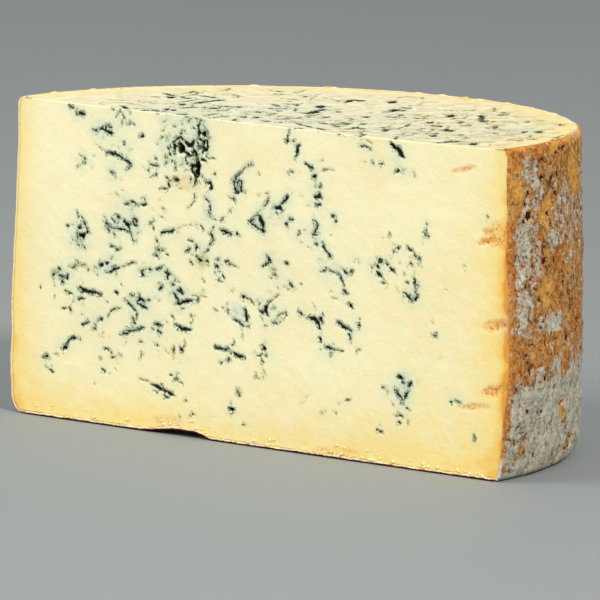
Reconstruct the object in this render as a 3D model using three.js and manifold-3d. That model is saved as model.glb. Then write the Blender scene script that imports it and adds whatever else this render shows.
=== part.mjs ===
// Half of a blue-veined wheel cheese, cut level across the wheel and then straight down just in front of
// its centre. It stands on its natural rind. All sizes are in millimetres: +X runs along the cut face to
// the right, +Y away from the cut face, +Z up, and the origin is under the middle of the piece.
import * as THREE from "three";
import { mergeVertices } from "three/addons/utils/BufferGeometryUtils.js";
import Module from "manifold-3d";

// The wheel and its two cuts
const WHEEL_RADIUS = 100; // at the level cut
const HEIGHT = 105;
const CUT_FROM_AXIS = 5; // the upright cut passes this far in front of the wheel's axis
const DEPTH = WHEEL_RADIUS + CUT_FROM_AXIS + 1.9; // from the cut face to the furthest rind

// The wall sags outwards low down and curls in to the foot
const SAG = 1.9;
const SAG_HEIGHT = 36; // the widest level
const FOOT_CURL = 2.8; // tight curl at the very foot, all round
const FOOT_CURL_HEIGHT = 7;
const LEFT_CURL = 2.7; // more of the same curl towards the left
const CORNER_LEAN = 3.4; // long slope in to the foot at the right-hand corner of the cut
const CORNER_LEAN_HEIGHT = 34;
const RIM_ROUND = 1.2; // the rind's rim is worn round at the level cut
const RIM_ROUND_HEIGHT = 2.4;
const LEFT_RIM_ROUND = 1.2; // and more so at the left-hand corner

// Relief: broad lumps and coarse crags on the rind, and slow waves left by the cutting wire
const LUMP = 0.45;
const LUMP_LENGTH = 34;
const CRAG = 1.1;
const CRAG_SIZE = 9;
const WIRE_WAVE = 0.35;
const WIRE_WAVE_LENGTH = 46;
const TOP_DISH = 0.7; // the level cut is this much lower along its middle

// A dent in the base, open at the cut face
const DENT = { left: -49, peakLeft: -30, peakRight: -24.5, right: -16.5, lift: 1.7, reach: 26 };

// Hollows in the paste where the blue mould grows: place on the cut face, half sizes and tilt in degrees
const HOLLOWS = [
  { x: -26.3, z: 87.6, halfWidth: 2.1, halfHeight: 5.2, depth: 4.4, tilt: 8 },
  { x: -31.6, z: 93.6, halfWidth: 1.8, halfHeight: 3.2, depth: 2.6, tilt: 38 },
  { x: -23.8, z: 96.4, halfWidth: 1.5, halfHeight: 3.8, depth: 2.4, tilt: -20 },
  { x: -34.2, z: 82.6, halfWidth: 1.5, halfHeight: 1.2, depth: 2.2, tilt: 0 },
];

// Grid of the faceted surface
const COLUMNS = 64;
const WALL_LEVELS = [
  0, 0.9, 2.4, 4.6, 7.5, 12, 17, 22, 27, 32, 37, 42, 47, 52, 57, 62, 67, 72, 77, 82, 87, 92, 97, 101, 103.4,
  HEIGHT,
];
const TOP_ROWS = 9;
const BASE_ROWS = [0, 0.06, 0.15, 0.3, 1]; // shares of the way from the cut face to the far rind

const AXIS_Y = CUT_FROM_AXIS - DEPTH / 2; // the wheel's axis
const CUT_Y = -DEPTH / 2; // the upright cut face

const smooth = (low, high, value) => {
  const t = Math.min(1, Math.max(0, (value - low) / (high - low)));
  return t * t * (3 - 2 * t);
};
const mix = (a, b, t) => a + (b - a) * t;

// A repeatable number from 0 to 1 for each lattice point
const scatter = (i, j, k) => {
  const value = Math.sin(i * 127.1 + j * 311.7 + k * 74.7) * 43758.5453;
  return value - Math.floor(value);
};

// Smooth noise from -1 to 1, one lattice cell per unit
function noise(x, y, z) {
  const [i, j, k] = [Math.floor(x), Math.floor(y), Math.floor(z)];
  const [u, v, w] = [smooth(0, 1, x - i), smooth(0, 1, y - j), smooth(0, 1, z - k)];
  const plane = (dk) =>
    mix(
      mix(scatter(i, j, k + dk), scatter(i + 1, j, k + dk), u),
      mix(scatter(i, j + 1, k + dk), scatter(i + 1, j + 1, k + dk), u),
      v,
    );
  return 2 * mix(plane(0), plane(1), w) - 1;
}

// How far a quarter-round edge falls back, at a share of its height from 0 at the edge to 1 clear of it
const roundOff = (share) => {
  const t = 1 - Math.min(1, Math.max(0, share));
  return 1 - Math.sqrt(1 - t * t);
};

// Radius of the wall at an angle about the axis (0 to the right, 90 degrees at the back) and a height
function wallRadius(angle, z) {
  const rightness = (1 + Math.cos(angle)) / 2;
  const leftness = 1 - rightness;
  const sag = SAG * smooth(HEIGHT, SAG_HEIGHT, z);
  const curl = (FOOT_CURL + LEFT_CURL * leftness) * roundOff(z / FOOT_CURL_HEIGHT);
  const lean = CORNER_LEAN * rightness ** 10 * Math.max(0, 1 - z / CORNER_LEAN_HEIGHT);
  const rim = (RIM_ROUND + LEFT_RIM_ROUND * leftness ** 8) * roundOff((HEIGHT - z) / RIM_ROUND_HEIGHT);
  return WHEEL_RADIUS + sag - curl - lean - rim;
}

// Broad lumps, and crags of two sizes, added to the wall's radius
function wallRelief(angle, z) {
  const x = WHEEL_RADIUS * Math.cos(angle);
  const y = WHEEL_RADIUS * Math.sin(angle);
  const lumps = LUMP * noise(x / LUMP_LENGTH, y / LUMP_LENGTH, z / LUMP_LENGTH);
  const crags = noise(x / CRAG_SIZE, y / CRAG_SIZE, z / CRAG_SIZE);
  const small = noise((2 * x) / CRAG_SIZE, (2 * y) / CRAG_SIZE, (2 * z) / CRAG_SIZE);
  return lumps + (CRAG / 2) * (crags + 0.5 * small);
}

// Slow waves of the cutting wire over a cut face
const wireWave = (along, across) =>
  WIRE_WAVE * noise(along / WIRE_WAVE_LENGTH, across / (WIRE_WAVE_LENGTH / 2), 5.5);

// Angles run from the right-hand corner of the cut round the back to the left-hand corner
function wallPoint(share, z) {
  const corner = -Math.asin(CUT_FROM_AXIS / WHEEL_RADIUS);
  const angle = mix(corner, Math.PI - corner, share);
  const radius = wallRadius(angle, z) + wallRelief(angle, z);
  const fromCut = CUT_FROM_AXIS + radius * Math.sin(angle);
  const y = share === 0 || share === 1 ? CUT_Y : CUT_Y + Math.max(0, fromCut);
  return new THREE.Vector3(radius * Math.cos(angle), y, z);
}

// How far the base lifts off the table at the dent
function dentLift(x, fromCut) {
  const along = smooth(DENT.left, DENT.peakLeft, x) * (1 - smooth(DENT.peakRight, DENT.right, x));
  return DENT.lift * along * (1 - smooth(0, DENT.reach, fromCut));
}

// The cut face: across from wall to wall, closer together near the corners as the wall's columns are
function cutPoint(share, z) {
  const right = wallPoint(0, z);
  const left = wallPoint(1, z);
  const across = (1 - Math.cos(Math.PI * share)) / 2;
  const x = mix(right.x, left.x, across);
  const lift = dentLift(x, 0);
  const inside = Math.sin(Math.PI * share) * smooth(0, 12, z) * smooth(HEIGHT, HEIGHT - 12, z);
  return new THREE.Vector3(x, CUT_Y + inside * wireWave(x, z), mix(lift, HEIGHT, z / HEIGHT));
}

// The level cut at the top, from the cut face back to the wall
function topPoint(share, back) {
  const near = cutPoint(share, HEIGHT);
  const far = wallPoint(share, HEIGHT);
  const point = near.clone().lerp(far, back);
  const fromRim = Math.sin(Math.PI * share) * (1 - back) ** 0.5;
  point.z = HEIGHT - TOP_DISH * fromRim + fromRim * wireWave(point.x, point.y);
  return point;
}

// The base, flat on the table but for the dent
function basePoint(share, back) {
  const near = cutPoint(share, 0);
  const far = wallPoint(share, 0);
  const point = near.clone().lerp(far, back);
  point.z = dentLift(point.x, point.y - CUT_Y);
  return point;
}

// The cut face's top edge follows the level cut
function facePoint(share, z) {
  const point = cutPoint(share, z);
  const sunk = HEIGHT - topPoint(share, 0).z;
  point.z -= sunk * (z / HEIGHT) ** 12;
  return point;
}

// Adds the triangles of a grid of points, turned so that they face outwards, and drops empty ones
function addPatch(triangles, rows, pointAt, outwards) {
  const points = [];
  for (let column = 0; column <= COLUMNS; column++) {
    points.push(rows.map((row) => pointAt(column / COLUMNS, row)));
  }
  const same = (a, b) => a.distanceToSquared(b) < 1e-8;
  for (let column = 0; column < COLUMNS; column++) {
    for (let row = 0; row + 1 < rows.length; row++) {
      const [a, b] = [points[column][row], points[column + 1][row]];
      const [c, d] = [points[column + 1][row + 1], points[column][row + 1]];
      for (const corners of [
        [a, b, c],
        [a, c, d],
      ]) {
        const [p, q, r] = outwards ? corners : corners.toReversed();
        if (!same(p, q) && !same(q, r) && !same(r, p)) triangles.push(p, q, r);
      }
    }
  }
}

// The whole outside as one closed surface
function cheeseSurface() {
  const triangles = [];
  const topRows = Array.from({ length: TOP_ROWS + 1 }, (_, row) => row / TOP_ROWS);
  addPatch(triangles, WALL_LEVELS, wallPoint, true);
  addPatch(triangles, WALL_LEVELS, facePoint, false);
  addPatch(triangles, topRows, topPoint, false);
  addPatch(triangles, BASE_ROWS, basePoint, true);
  return mergeVertices(new THREE.BufferGeometry().setFromPoints(triangles), 1e-4);
}

// One hollow: a craggy ball, stretched, tilted in the cut face and sunk half into it
function hollowShape({ x, z, halfWidth, halfHeight, depth, tilt }) {
  const ball = mergeVertices(new THREE.IcosahedronGeometry(1, 3).deleteAttribute("normal").deleteAttribute("uv"), 1e-4);
  const at = ball.attributes.position;
  for (let i = 0; i < at.count; i++) {
    const point = new THREE.Vector3().fromBufferAttribute(at, i);
    point.multiplyScalar(1 + 0.22 * noise(point.x * 2 + x, point.y * 2, point.z * 2 + z));
    at.setXYZ(i, point.x, point.y, point.z);
  }
  ball.scale(halfWidth, depth, halfHeight);
  ball.rotateY(THREE.MathUtils.degToRad(tilt));
  ball.translate(x, CUT_Y, z);
  return ball;
}

const wasm = await Module();
wasm.setup();

const solidOf = (geometry) =>
  new wasm.Manifold(
    new wasm.Mesh({
      numProp: 3,
      vertProperties: geometry.attributes.position.array,
      triVerts: new Uint32Array(geometry.index.array),
    }),
  );

// The cheese with its hollows cut out
function cheeseGeometry() {
  let solid = solidOf(cheeseSurface());
  for (const hollow of HOLLOWS) solid = solid.subtract(solidOf(hollowShape(hollow)));
  const mesh = solid.getMesh();
  const geometry = new THREE.BufferGeometry();
  geometry.setAttribute("position", new THREE.BufferAttribute(mesh.vertProperties, 3));
  geometry.setIndex(new THREE.BufferAttribute(mesh.triVerts, 1));
  geometry.computeVertexNormals();
  return geometry;
}

const paste = new THREE.MeshStandardMaterial({ color: 0xf3e6b8, roughness: 0.55, metalness: 0 });
const cheese = new THREE.Mesh(cheeseGeometry(), paste);
cheese.name = "cheese";

const halfWheel = new THREE.Group();
halfWheel.add(cheese);

export default halfWheel;
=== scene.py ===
"""Half of a blue-veined wheel cheese with a dry natural rind, standing on its base.

The cheese is two closed pieces and some crumbs: the paste, with its cut face and level top, and the rind
that wraps the wall and the base. Sizes are in millimetres and turn to metres where a mesh is made. +X
runs along the cut face to the right, +Y away from the cut face and +Z up.
"""

from __future__ import annotations

import logging
import math
from dataclasses import dataclass, field, replace
from enum import Enum
from functools import cached_property

import bpy
import numpy as np
from mathutils import Matrix, Vector


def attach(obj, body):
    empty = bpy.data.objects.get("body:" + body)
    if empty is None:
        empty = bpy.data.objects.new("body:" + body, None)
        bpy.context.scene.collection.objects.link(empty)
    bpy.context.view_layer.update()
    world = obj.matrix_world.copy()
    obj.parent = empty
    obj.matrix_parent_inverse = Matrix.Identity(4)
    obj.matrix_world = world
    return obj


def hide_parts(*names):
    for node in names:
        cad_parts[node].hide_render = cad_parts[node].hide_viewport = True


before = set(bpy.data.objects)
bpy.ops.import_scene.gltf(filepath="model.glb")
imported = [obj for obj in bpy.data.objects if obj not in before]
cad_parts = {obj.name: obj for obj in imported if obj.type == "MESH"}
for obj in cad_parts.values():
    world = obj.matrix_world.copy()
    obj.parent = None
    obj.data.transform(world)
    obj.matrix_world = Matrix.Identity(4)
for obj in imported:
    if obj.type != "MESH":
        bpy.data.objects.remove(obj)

LOG = logging.getLogger("cheese")
MM = 0.001
CAD_NODE = "cheese"
BODY = "root"

Array = np.ndarray
Number = float | Array
Socket = bpy.types.NodeSocket
HIDDEN_UV = 0.003  # the place in the picture map of all that never shows


# ---- Numbers over whole arrays ----


def smooth(low: Number, high: Number, value: Number) -> Array:
    """Smooth step: t squared times (3 - 2t), where t is the share of the way from low to high.

    Args:
        low: where the step starts.
        high: where the step ends, which may be below low.
        value: the numbers to step.

    Returns:
        Numbers from 0 to 1.
    """
    t = np.clip((value - low) / (high - low), 0, 1)
    return t * t * (3 - 2 * t)


def mix(a: Number, b: Number, t: Number) -> Array:
    """Straight blend from a to b."""
    return a + (b - a) * t


def fall(distance: Array, most: float, reach: float) -> Array:
    """Most at no distance or less, and an e-th of that with each reach further off."""
    return most * np.exp(-np.maximum(distance, 0) / reach)


def scatter(i: Array, j: Array, k: Array) -> Array:
    """A repeatable number from 0 to 1 for each lattice point: the fraction of a large, fast sine."""
    value = np.sin(i * 127.1 + j * 311.7 + k * 74.7) * 43758.5453
    return value - np.floor(value)


def noise(x: Array, y: Array, z: Number) -> Array:
    """Smooth value noise: the eight corners of a lattice cell blended by smooth steps.

    Args:
        x: first coordinate, one lattice cell per unit.
        y: second coordinate.
        z: third coordinate.

    Returns:
        Numbers from -1 to 1.
    """
    x, y, z = np.broadcast_arrays(*(np.asarray(c, float) for c in (x, y, z)))
    i, j, k = np.floor(x), np.floor(y), np.floor(z)
    u, v, w = smooth(0, 1, x - i), smooth(0, 1, y - j), smooth(0, 1, z - k)

    def plane(dk: int) -> Array:
        """The four corners of one side of the cell, blended."""
        near = mix(scatter(i, j, k + dk), scatter(i + 1, j, k + dk), u)
        far = mix(scatter(i, j + 1, k + dk), scatter(i + 1, j + 1, k + dk), u)
        return mix(near, far, v)

    return 2 * mix(plane(0), plane(1), w) - 1


def rough(x: Array, y: Array, z: Number, size: float, octaves: int = 3) -> Array:
    """Noise summed over octaves, each half the size and half the height of the last.

    Args:
        x: first coordinate in mm.
        y: second coordinate in mm.
        z: third coordinate in mm. On a flat pattern it picks the slice, so that no two patterns match.
        size: lattice size of the first octave in mm.
        octaves: how many octaves are summed.

    Returns:
        Numbers from about -1 to 1.
    """
    total, height = 0.0, 1.0
    for octave in range(octaves):
        scale = 2**octave / size
        total = total + height * noise(x * scale + 7.3 * octave, y * scale, z * scale)
        height /= 2
    return total / (2 - 2 * height)


# ---- The form of the piece, from the same sizes as the solid ----


@dataclass(frozen=True)
class HalfWheel:
    """The wheel and its two cuts. The wall sags outwards low down and curls in to the foot."""

    radius: float = 100.0
    height: float = 105.0
    cut_from_axis: float = 5.0
    depth: float = 106.9
    sag: float = 1.9
    sag_height: float = 36.0
    foot_curl: float = 2.8
    foot_curl_height: float = 7.0
    left_curl: float = 2.7
    corner_lean: float = 3.4
    corner_lean_height: float = 34.0
    rim_round: float = 1.2
    rim_round_height: float = 2.4
    left_rim_round: float = 1.2
    lump: float = 0.45
    lump_length: float = 34.0
    crag: float = 1.1
    crag_size: float = 9.0
    crag_share: float = 0.6  # the rest of the crags' height is left to finer ones
    wire_wave: float = 0.35
    wire_wave_length: float = 46.0
    wire_fade: float = 12.0
    top_dish: float = 0.7
    top_dish_fade: int = 12  # the power of the height by which the dish goes on down the cut face
    dent_left: float = -49.0
    dent_peak_left: float = -30.0
    dent_peak_right: float = -24.5
    dent_right: float = -16.5
    dent_lift: float = 1.7
    dent_reach: float = 26.0

    @property
    def cut_y(self) -> float:
        """Where the upright cut face stands."""
        return -self.depth / 2

    @property
    def first_angle(self) -> float:
        """Angle about the wheel's axis of the cut face's right-hand corner."""
        return -math.asin(self.cut_from_axis / self.radius)

    def angle(self, share: Array) -> Array:
        """Angle about the axis: from the right-hand corner round the back to the left-hand one."""
        return mix(self.first_angle, math.pi - self.first_angle, share)

    def around(self, angle: Array) -> tuple[Array, Array]:
        """Places in plan on the wheel's circle, from its axis, by their angle about it."""
        return self.radius * np.cos(angle), self.radius * np.sin(angle)

    def wall_radius(self, angle: Array, z: Array) -> Array:
        """Radius of the wall: the wheel, plus its sag, less the foot's curl, the lean and the rim's round.

        Args:
            angle: angle about the wheel's axis.
            z: height.

        Returns:
            Radius in mm, before lumps and crags.
        """
        rightness = (1 + np.cos(angle)) / 2
        leftness = 1 - rightness
        sag = self.sag * smooth(self.height, self.sag_height, z)

        def round_off(share: Array) -> Array:
            """How far a quarter-round edge falls back: one less the root of one less t squared."""
            t = 1 - np.clip(share, 0, 1)
            return 1 - np.sqrt(1 - t * t)

        curl = (self.foot_curl + self.left_curl * leftness) * round_off(z / self.foot_curl_height)
        lean = self.corner_lean * rightness**10 * np.maximum(0, 1 - z / self.corner_lean_height)
        rim_depth = self.rim_round + self.left_rim_round * leftness**8
        rim = rim_depth * round_off((self.height - z) / self.rim_round_height)
        return self.radius + sag - curl - lean - rim

    def wall_relief(self, angle: Array, z: Array) -> Array:
        """Broad lumps and two sizes of crag on the wall, as noise in three dimensions.

        Args:
            angle: angle about the wheel's axis.
            z: height.

        Returns:
            What they add to the radius, in mm.
        """
        place = np.stack(np.broadcast_arrays(*self.around(angle), z))
        lumps = self.lump * noise(*(place / self.lump_length))
        crags = noise(*(place / self.crag_size)) + 0.5 * noise(*(2 * place / self.crag_size))
        return lumps + self.crag_share * self.crag / 2 * crags

    def wall(self, share: Array, z: Array, inset: float = 0.0) -> Array:
        """Points of the wall: (r cos a, axis + r sin a, z), held behind the cut face.

        Args:
            share: from 0 at the right-hand corner to 1 at the left-hand one.
            z: height.
            inset: how far inside the wall, in mm.

        Returns:
            Points, with x, y and z in the last axis.
        """
        angle = self.angle(share)
        radius = self.wall_radius(angle, z) + self.wall_relief(angle, z) - inset
        back = np.maximum(0, self.cut_from_axis + radius * np.sin(angle))
        ends = (share <= 0) | (share >= 1)
        return np.stack([radius * np.cos(angle), self.cut_y + np.where(ends, 0, back), z + 0 * back], -1)

    def dent(self, x: Array, from_cut: Number = 0.0) -> Array:
        """How far the base lifts off the table at the dent: a smooth hill along x that fades inwards.

        Args:
            x: place across.
            from_cut: distance behind the cut face.

        Returns:
            The lift in mm.
        """
        rise = smooth(self.dent_left, self.dent_peak_left, x)
        fall_back = 1 - smooth(self.dent_peak_right, self.dent_right, x)
        return self.dent_lift * rise * fall_back * (1 - smooth(0, self.dent_reach, from_cut))

    def wire(self, along: Array, across: Number) -> Array:
        """Slow waves left by the cutting wire."""
        length = self.wire_wave_length
        return self.wire_wave * noise(along / length, 2 * across / length, 5.5)


WHEEL = HalfWheel()


# ---- Veins of mould, laid out on the cut face and the top unfolded into one plane ----


@dataclass(frozen=True)
class Vein:
    """One dark seam of mould: a bent line with a half width and a shade, from 0, faint, to 1, black-green."""

    half_width: float
    shade: float
    path: tuple[tuple[float, float], ...]


def veins(*rows: tuple[float, ...]) -> tuple[Vein, ...]:
    """Seams, each from its half width, its shade and the two coordinates of each of its points in turn."""
    return tuple(Vein(row[0], row[1], tuple(zip(row[2::2], row[3::2]))) for row in rows)


class Stain(Enum):
    """What colours a soft patch of the paste."""

    GREY = "haze"
    OLIVE = "olive"
    RUST = "rust"
    GREEN = "halo"


@dataclass(frozen=True)
class Patch:
    """A soft-edged oval patch: its kind, middle, half sizes, tilt in degrees and strength."""

    kind: Stain
    x: float
    t: float
    half_x: float
    half_t: float
    tilt: float = 0.0
    strength: float = 1.0


def patches(kind: Stain, *rows: tuple[float, ...]) -> tuple[Patch, ...]:
    """Patches of one kind, each from its middle, half sizes, tilt and strength."""
    return tuple(Patch(kind, *row) for row in rows)


# On the cut face: half width, shade, and x from its middle and the height of each point
FACE_VEINS = veins(
    # top left, in from the corner
    (0.6, 0.8, -78.4, 103.4, -77.0, 102.6), (0.5, 0.9, -74.6, 101.3, -72.0, 101.2),
    (0.3, 0.4, -76.2, 101.4, -74.8, 100.5), (0.8, 0.95, -67.4, 96.3, -66.8, 96.2),
    (0.35, 0.8, -67.0, 96.4, -64.6, 97.3, -62.4, 98.2, -60.9, 97.9),
    (0.45, 1.0, -65.0, 97.0, -62.8, 96.4, -60.3, 96.1), (0.3, 0.8, -63.8, 97.6, -63.0, 96.6),
    (0.25, 0.7, -61.2, 104.4, -59.3, 104.2), (0.5, 0.35, -57.0, 104.2, -59.3, 101.1),
    (0.35, 0.6, -53.2, 103.4, -52.8, 103.4), (0.35, 0.7, -54.0, 99.7, -51.8, 100.0),
    (0.3, 0.35, -56.6, 99.0, -56.2, 99.0), (0.3, 0.35, -55.9, 92.5, -55.3, 92.5),
    (0.35, 0.25, -67.7, 91.7, -64.0, 90.4, -62.5, 89.9),
    (0.5, 1.0, -62.7, 89.8, -60.2, 89.5, -56.5, 88.3, -53.4, 87.4),
    (0.4, 0.75, -53.4, 87.4, -52.4, 86.2, -54.3, 84.8), (0.35, 0.7, -72.0, 86.9, -71.6, 86.4),
    (0.4, 0.8, -72.2, 85.4, -71.4, 85.3), (0.25, 0.45, -73.6, 87.4, -73.1, 87.0),
    (0.3, 0.3, -74.6, 84.6, -73.4, 84.3), (0.5, 0.35, -60.8, 83.4, -60.2, 82.8),
    (0.5, 0.35, -59.2, 81.8, -58.2, 81.6), (0.3, 0.2, -56.6, 81.3, -55.8, 81.2),
    (0.3, 0.2, -56.6, 78.0, -55.4, 77.8), (0.3, 0.25, -61.2, 76.1, -60.6, 75.9),
    (0.45, 0.9, -54.6, 73.8, -53.4, 73.6), (0.3, 0.8, -52.9, 74.3, -51.0, 74.1, -49.4, 73.6),
    (0.4, 0.9, -48.0, 74.0, -45.5, 74.2), (0.3, 0.5, -47.0, 76.2, -46.5, 75.6),
    (0.5, 0.8, -48.9, 95.6, -47.3, 96.4), (0.3, 0.3, -42.3, 103.8, -41.2, 103.8),
    (0.4, 0.45, -39.8, 98.9, -38.8, 98.8), (0.3, 0.4, -37.8, 104.2, -37.4, 104.2),
    (0.35, 0.5, -34.6, 100.8, -33.8, 100.4), (0.5, 0.5, -30.2, 104.2, -28.4, 104.1),
    # the great tangle round the hollow
    (0.45, 0.9, -34.9, 95.6, -33.6, 96.7, -31.8, 97.0, -30.6, 96.2),
    (0.7, 1.0, -30.4, 96.0, -28.4, 94.9, -27.2, 95.6, -26.6, 96.9),
    (0.4, 0.85, -34.5, 95.7, -34.3, 93.4, -34.6, 91.0), (0.3, 0.6, -33.4, 94.9, -32.0, 95.4, -31.2, 94.2),
    (0.4, 0.45, -36.4, 92.8, -37.6, 93.4), (0.45, 0.75, -29.8, 92.4, -28.6, 91.2, -27.0, 92.0, -27.4, 94.0),
    (0.35, 0.6, -29.6, 91.4, -29.8, 89.6, -28.4, 88.4), (0.55, 0.95, -27.2, 94.4, -26.2, 92.8, -25.2, 91.4),
    (0.95, 1.0, -25.2, 90.4, -25.5, 88.4, -25.0, 86.4), (0.5, 1.0, -24.4, 89.4, -24.3, 87.4),
    (0.5, 0.95, -26.9, 88.8, -27.2, 86.8, -26.0, 85.2), (0.45, 0.9, -25.4, 85.4, -25.8, 83.4, -26.3, 82.0),
    (0.3, 0.7, -27.6, 84.6, -28.0, 83.6), (0.5, 0.95, -25.0, 101.6, -24.4, 100.0, -24.7, 98.2),
    (0.4, 0.85, -24.3, 99.6, -22.8, 98.6, -21.0, 98.0), (0.5, 0.95, -24.6, 97.8, -23.4, 97.0, -21.6, 97.0),
    (0.45, 0.85, -21.2, 97.0, -20.8, 95.2, -21.8, 93.6, -23.6, 92.4),
    (0.35, 0.7, -25.0, 96.4, -24.4, 94.8, -25.2, 93.4),
    (0.25, 0.5, -22.8, 101.8, -21.2, 100.4, -20.8, 98.6),
    (0.2, 0.6, -23.6, 103.3, -24.5, 102.0, -24.9, 100.4), (0.35, 0.8, -26.9, 100.8, -26.2, 100.4),
    (0.45, 0.85, -23.9, 90.7, -21.7, 90.4), (0.35, 0.4, -21.4, 91.4, -17.0, 91.8),
    (0.5, 0.85, -36.6, 91.5, -35.8, 91.2), (0.4, 0.8, -35.7, 89.0, -35.1, 89.0),
    (0.5, 0.9, -38.3, 88.3, -37.4, 88.5), (0.35, 0.7, -42.5, 89.8, -42.0, 89.0),
    (0.4, 0.85, -44.2, 87.4, -42.4, 87.0, -40.9, 87.1), (0.45, 0.85, -42.6, 83.7, -41.6, 84.2),
    (0.35, 0.4, -44.4, 83.1, -43.4, 83.2), (0.8, 0.9, -34.2, 83.0, -33.0, 83.4),
    (0.35, 0.6, -37.6, 83.9, -36.4, 82.6, -36.9, 80.4), (0.5, 0.6, -39.8, 80.0, -37.6, 80.0),
    # down from the hollow
    (0.4, 0.5, -18.4, 86.4, -17.4, 86.9), (0.5, 0.95, -21.4, 82.9, -19.6, 83.5, -18.9, 81.8, -19.8, 80.8),
    (0.35, 0.55, -22.0, 78.9, -19.8, 77.0, -19.2, 74.8, -19.5, 72.6, -16.7, 72.0),
    (0.3, 0.4, -21.2, 74.4, -20.0, 74.6), (0.3, 0.5, -25.8, 79.5, -26.1, 77.3, -28.6, 74.5),
    (0.3, 0.3, -39.8, 72.9, -37.6, 73.0), (0.3, 0.3, -40.4, 70.6, -38.8, 70.4),
    (0.4, 0.65, -23.6, 69.4, -22.0, 68.2), (0.45, 0.6, -17.9, 69.8, -18.6, 67.3, -17.9, 65.1, -19.5, 62.9),
    # left of the middle, below the top
    (0.45, 0.4, -2.6, 92.0, -6.4, 88.9), (0.4, 0.9, -6.6, 88.7, -8.3, 87.0, -10.4, 85.1),
    (0.4, 0.85, -10.1, 85.1, -8.6, 84.6, -7.0, 85.1, -7.3, 82.0, -8.9, 81.4, -10.1, 84.4),
    (0.25, 0.8, -8.8, 81.1, -5.8, 82.0), (0.4, 0.8, -11.4, 79.5, -9.5, 79.3, -9.4, 78.3),
    (0.3, 0.2, -14.0, 73.0, -12.6, 73.0), (0.25, 0.7, 11.9, 103.3, 11.3, 101.0, 11.2, 100.2),
    (0.7, 0.95, 10.9, 100.1, 11.9, 100.1), (0.6, 0.9, 15.8, 98.9, 15.5, 97.0, 15.0, 95.8, 14.5, 94.6),
    (0.3, 0.75, 15.6, 98.4, 16.7, 99.2), (0.4, 0.6, 18.6, 93.3, 20.2, 92.6),
    (0.6, 1.0, 20.3, 92.5, 21.8, 92.0), (0.5, 0.4, 25.5, 92.0, 28.6, 92.6),
    (0.3, 0.3, 29.4, 92.3, 30.2, 92.3), (0.35, 0.85, 12.4, 89.9, 14.0, 90.2),
    (0.6, 0.95, 21.8, 89.1, 23.2, 89.5), (0.4, 0.85, 24.7, 86.0, 25.5, 86.9),
    (0.5, 0.85, 24.7, 84.4, 25.0, 83.3, 23.2, 82.7), (0.5, 0.95, 23.6, 80.5, 25.4, 80.7),
    (0.4, 0.25, 16.8, 82.6, 17.8, 82.6), (0.6, 0.9, 11.9, 82.1, 10.6, 80.4, 9.7, 79.5),
    (0.5, 0.85, 6.3, 77.9, 9.1, 78.6, 10.0, 77.3), (0.5, 0.9, 7.4, 76.6, 8.3, 76.4),
    (0.4, 0.6, 4.7, 81.1, 3.8, 78.9, 2.2, 77.9), (0.3, 0.4, 2.8, 82.2, 4.0, 82.4),
    (0.45, 0.7, 12.8, 75.0, 14.4, 75.0), (0.7, 0.9, 11.6, 73.4, 12.0, 72.9),
    (0.9, 0.95, 0.9, 74.6, 1.9, 72.4, 2.8, 70.6),
    (0.35, 0.8, -0.1, 75.1, -3.0, 72.6, -0.1, 70.8, 2.0, 70.4), (0.8, 0.9, 2.0, 70.2, 3.4, 70.2),
    (0.55, 0.95, 30.2, 77.2, 31.0, 77.5), (0.5, 0.95, 31.4, 76.0, 31.9, 75.8),
    (0.4, 0.85, 24.2, 74.2, 23.8, 73.3, 23.1, 71.7), (0.3, 0.8, 22.2, 71.3, 24.4, 71.0),
    (0.35, 0.5, 31.3, 103.8, 33.8, 104.3), (0.45, 0.5, 38.0, 104.4, 40.0, 104.6),
    (0.5, 0.45, 40.3, 100.9, 42.0, 101.2, 44.0, 100.5, 44.6, 99.6), (0.4, 0.25, 43.0, 103.0, 45.0, 102.0),
    (0.4, 0.65, 45.6, 96.1, 46.2, 95.7), (0.5, 0.7, 48.7, 95.9, 49.5, 95.9),
    (0.7, 1.0, 53.4, 102.4, 54.2, 101.6, 55.8, 101.0, 57.3, 99.3), (0.5, 0.85, 54.9, 94.2, 56.4, 94.2),
    (0.5, 0.7, 55.4, 94.8, 55.8, 93.8), (0.7, 0.25, 62.0, 94.8, 62.4, 93.0),
    (0.5, 0.35, 66.8, 78.6, 67.6, 78.4), (0.4, 0.85, 67.0, 76.6, 67.5, 76.2),
    (0.4, 0.75, 66.4, 75.6, 67.6, 74.9, 68.6, 74.9), (0.5, 0.3, 52.8, 74.8, 53.4, 73.2),
    (0.5, 0.45, 90.6, 83.4, 91.2, 82.6),
    # the middle of the face, from the left
    (0.8, 0.95, -74.0, 64.1, -72.8, 64.0), (0.45, 0.85, -72.2, 66.2, -71.2, 65.2),
    (0.3, 0.6, -74.2, 66.8, -73.2, 67.6, -71.8, 67.0), (0.5, 0.9, -71.0, 64.4, -70.1, 63.0, -71.4, 61.8),
    (1.0, 1.0, -73.4, 61.7, -71.9, 60.7), (0.45, 0.95, -73.8, 60.4, -72.2, 61.6, -71.0, 61.9),
    (0.5, 0.65, -74.3, 58.3, -73.2, 57.6), (0.3, 0.5, -72.4, 57.2, -71.4, 57.6),
    (0.35, 0.6, -74.4, 63.0, -74.5, 59.4), (0.5, 0.7, -79.2, 63.6, -78.2, 64.0),
    (0.3, 0.3, -77.2, 64.2, -76.4, 64.4), (0.4, 0.9, -63.1, 66.9, -60.9, 65.7),
    (0.5, 0.8, -61.6, 64.8, -60.8, 63.8), (0.25, 0.8, -60.3, 67.9, -58.7, 66.9),
    (0.45, 0.9, -58.2, 69.4, -56.8, 68.6), (0.3, 0.7, -59.5, 65.2, -55.9, 65.1, -52.1, 64.6),
    (0.35, 0.7, -59.4, 63.4, -58.6, 62.9), (0.7, 0.95, -55.0, 67.9, -53.4, 66.8, -51.8, 67.4),
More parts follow.
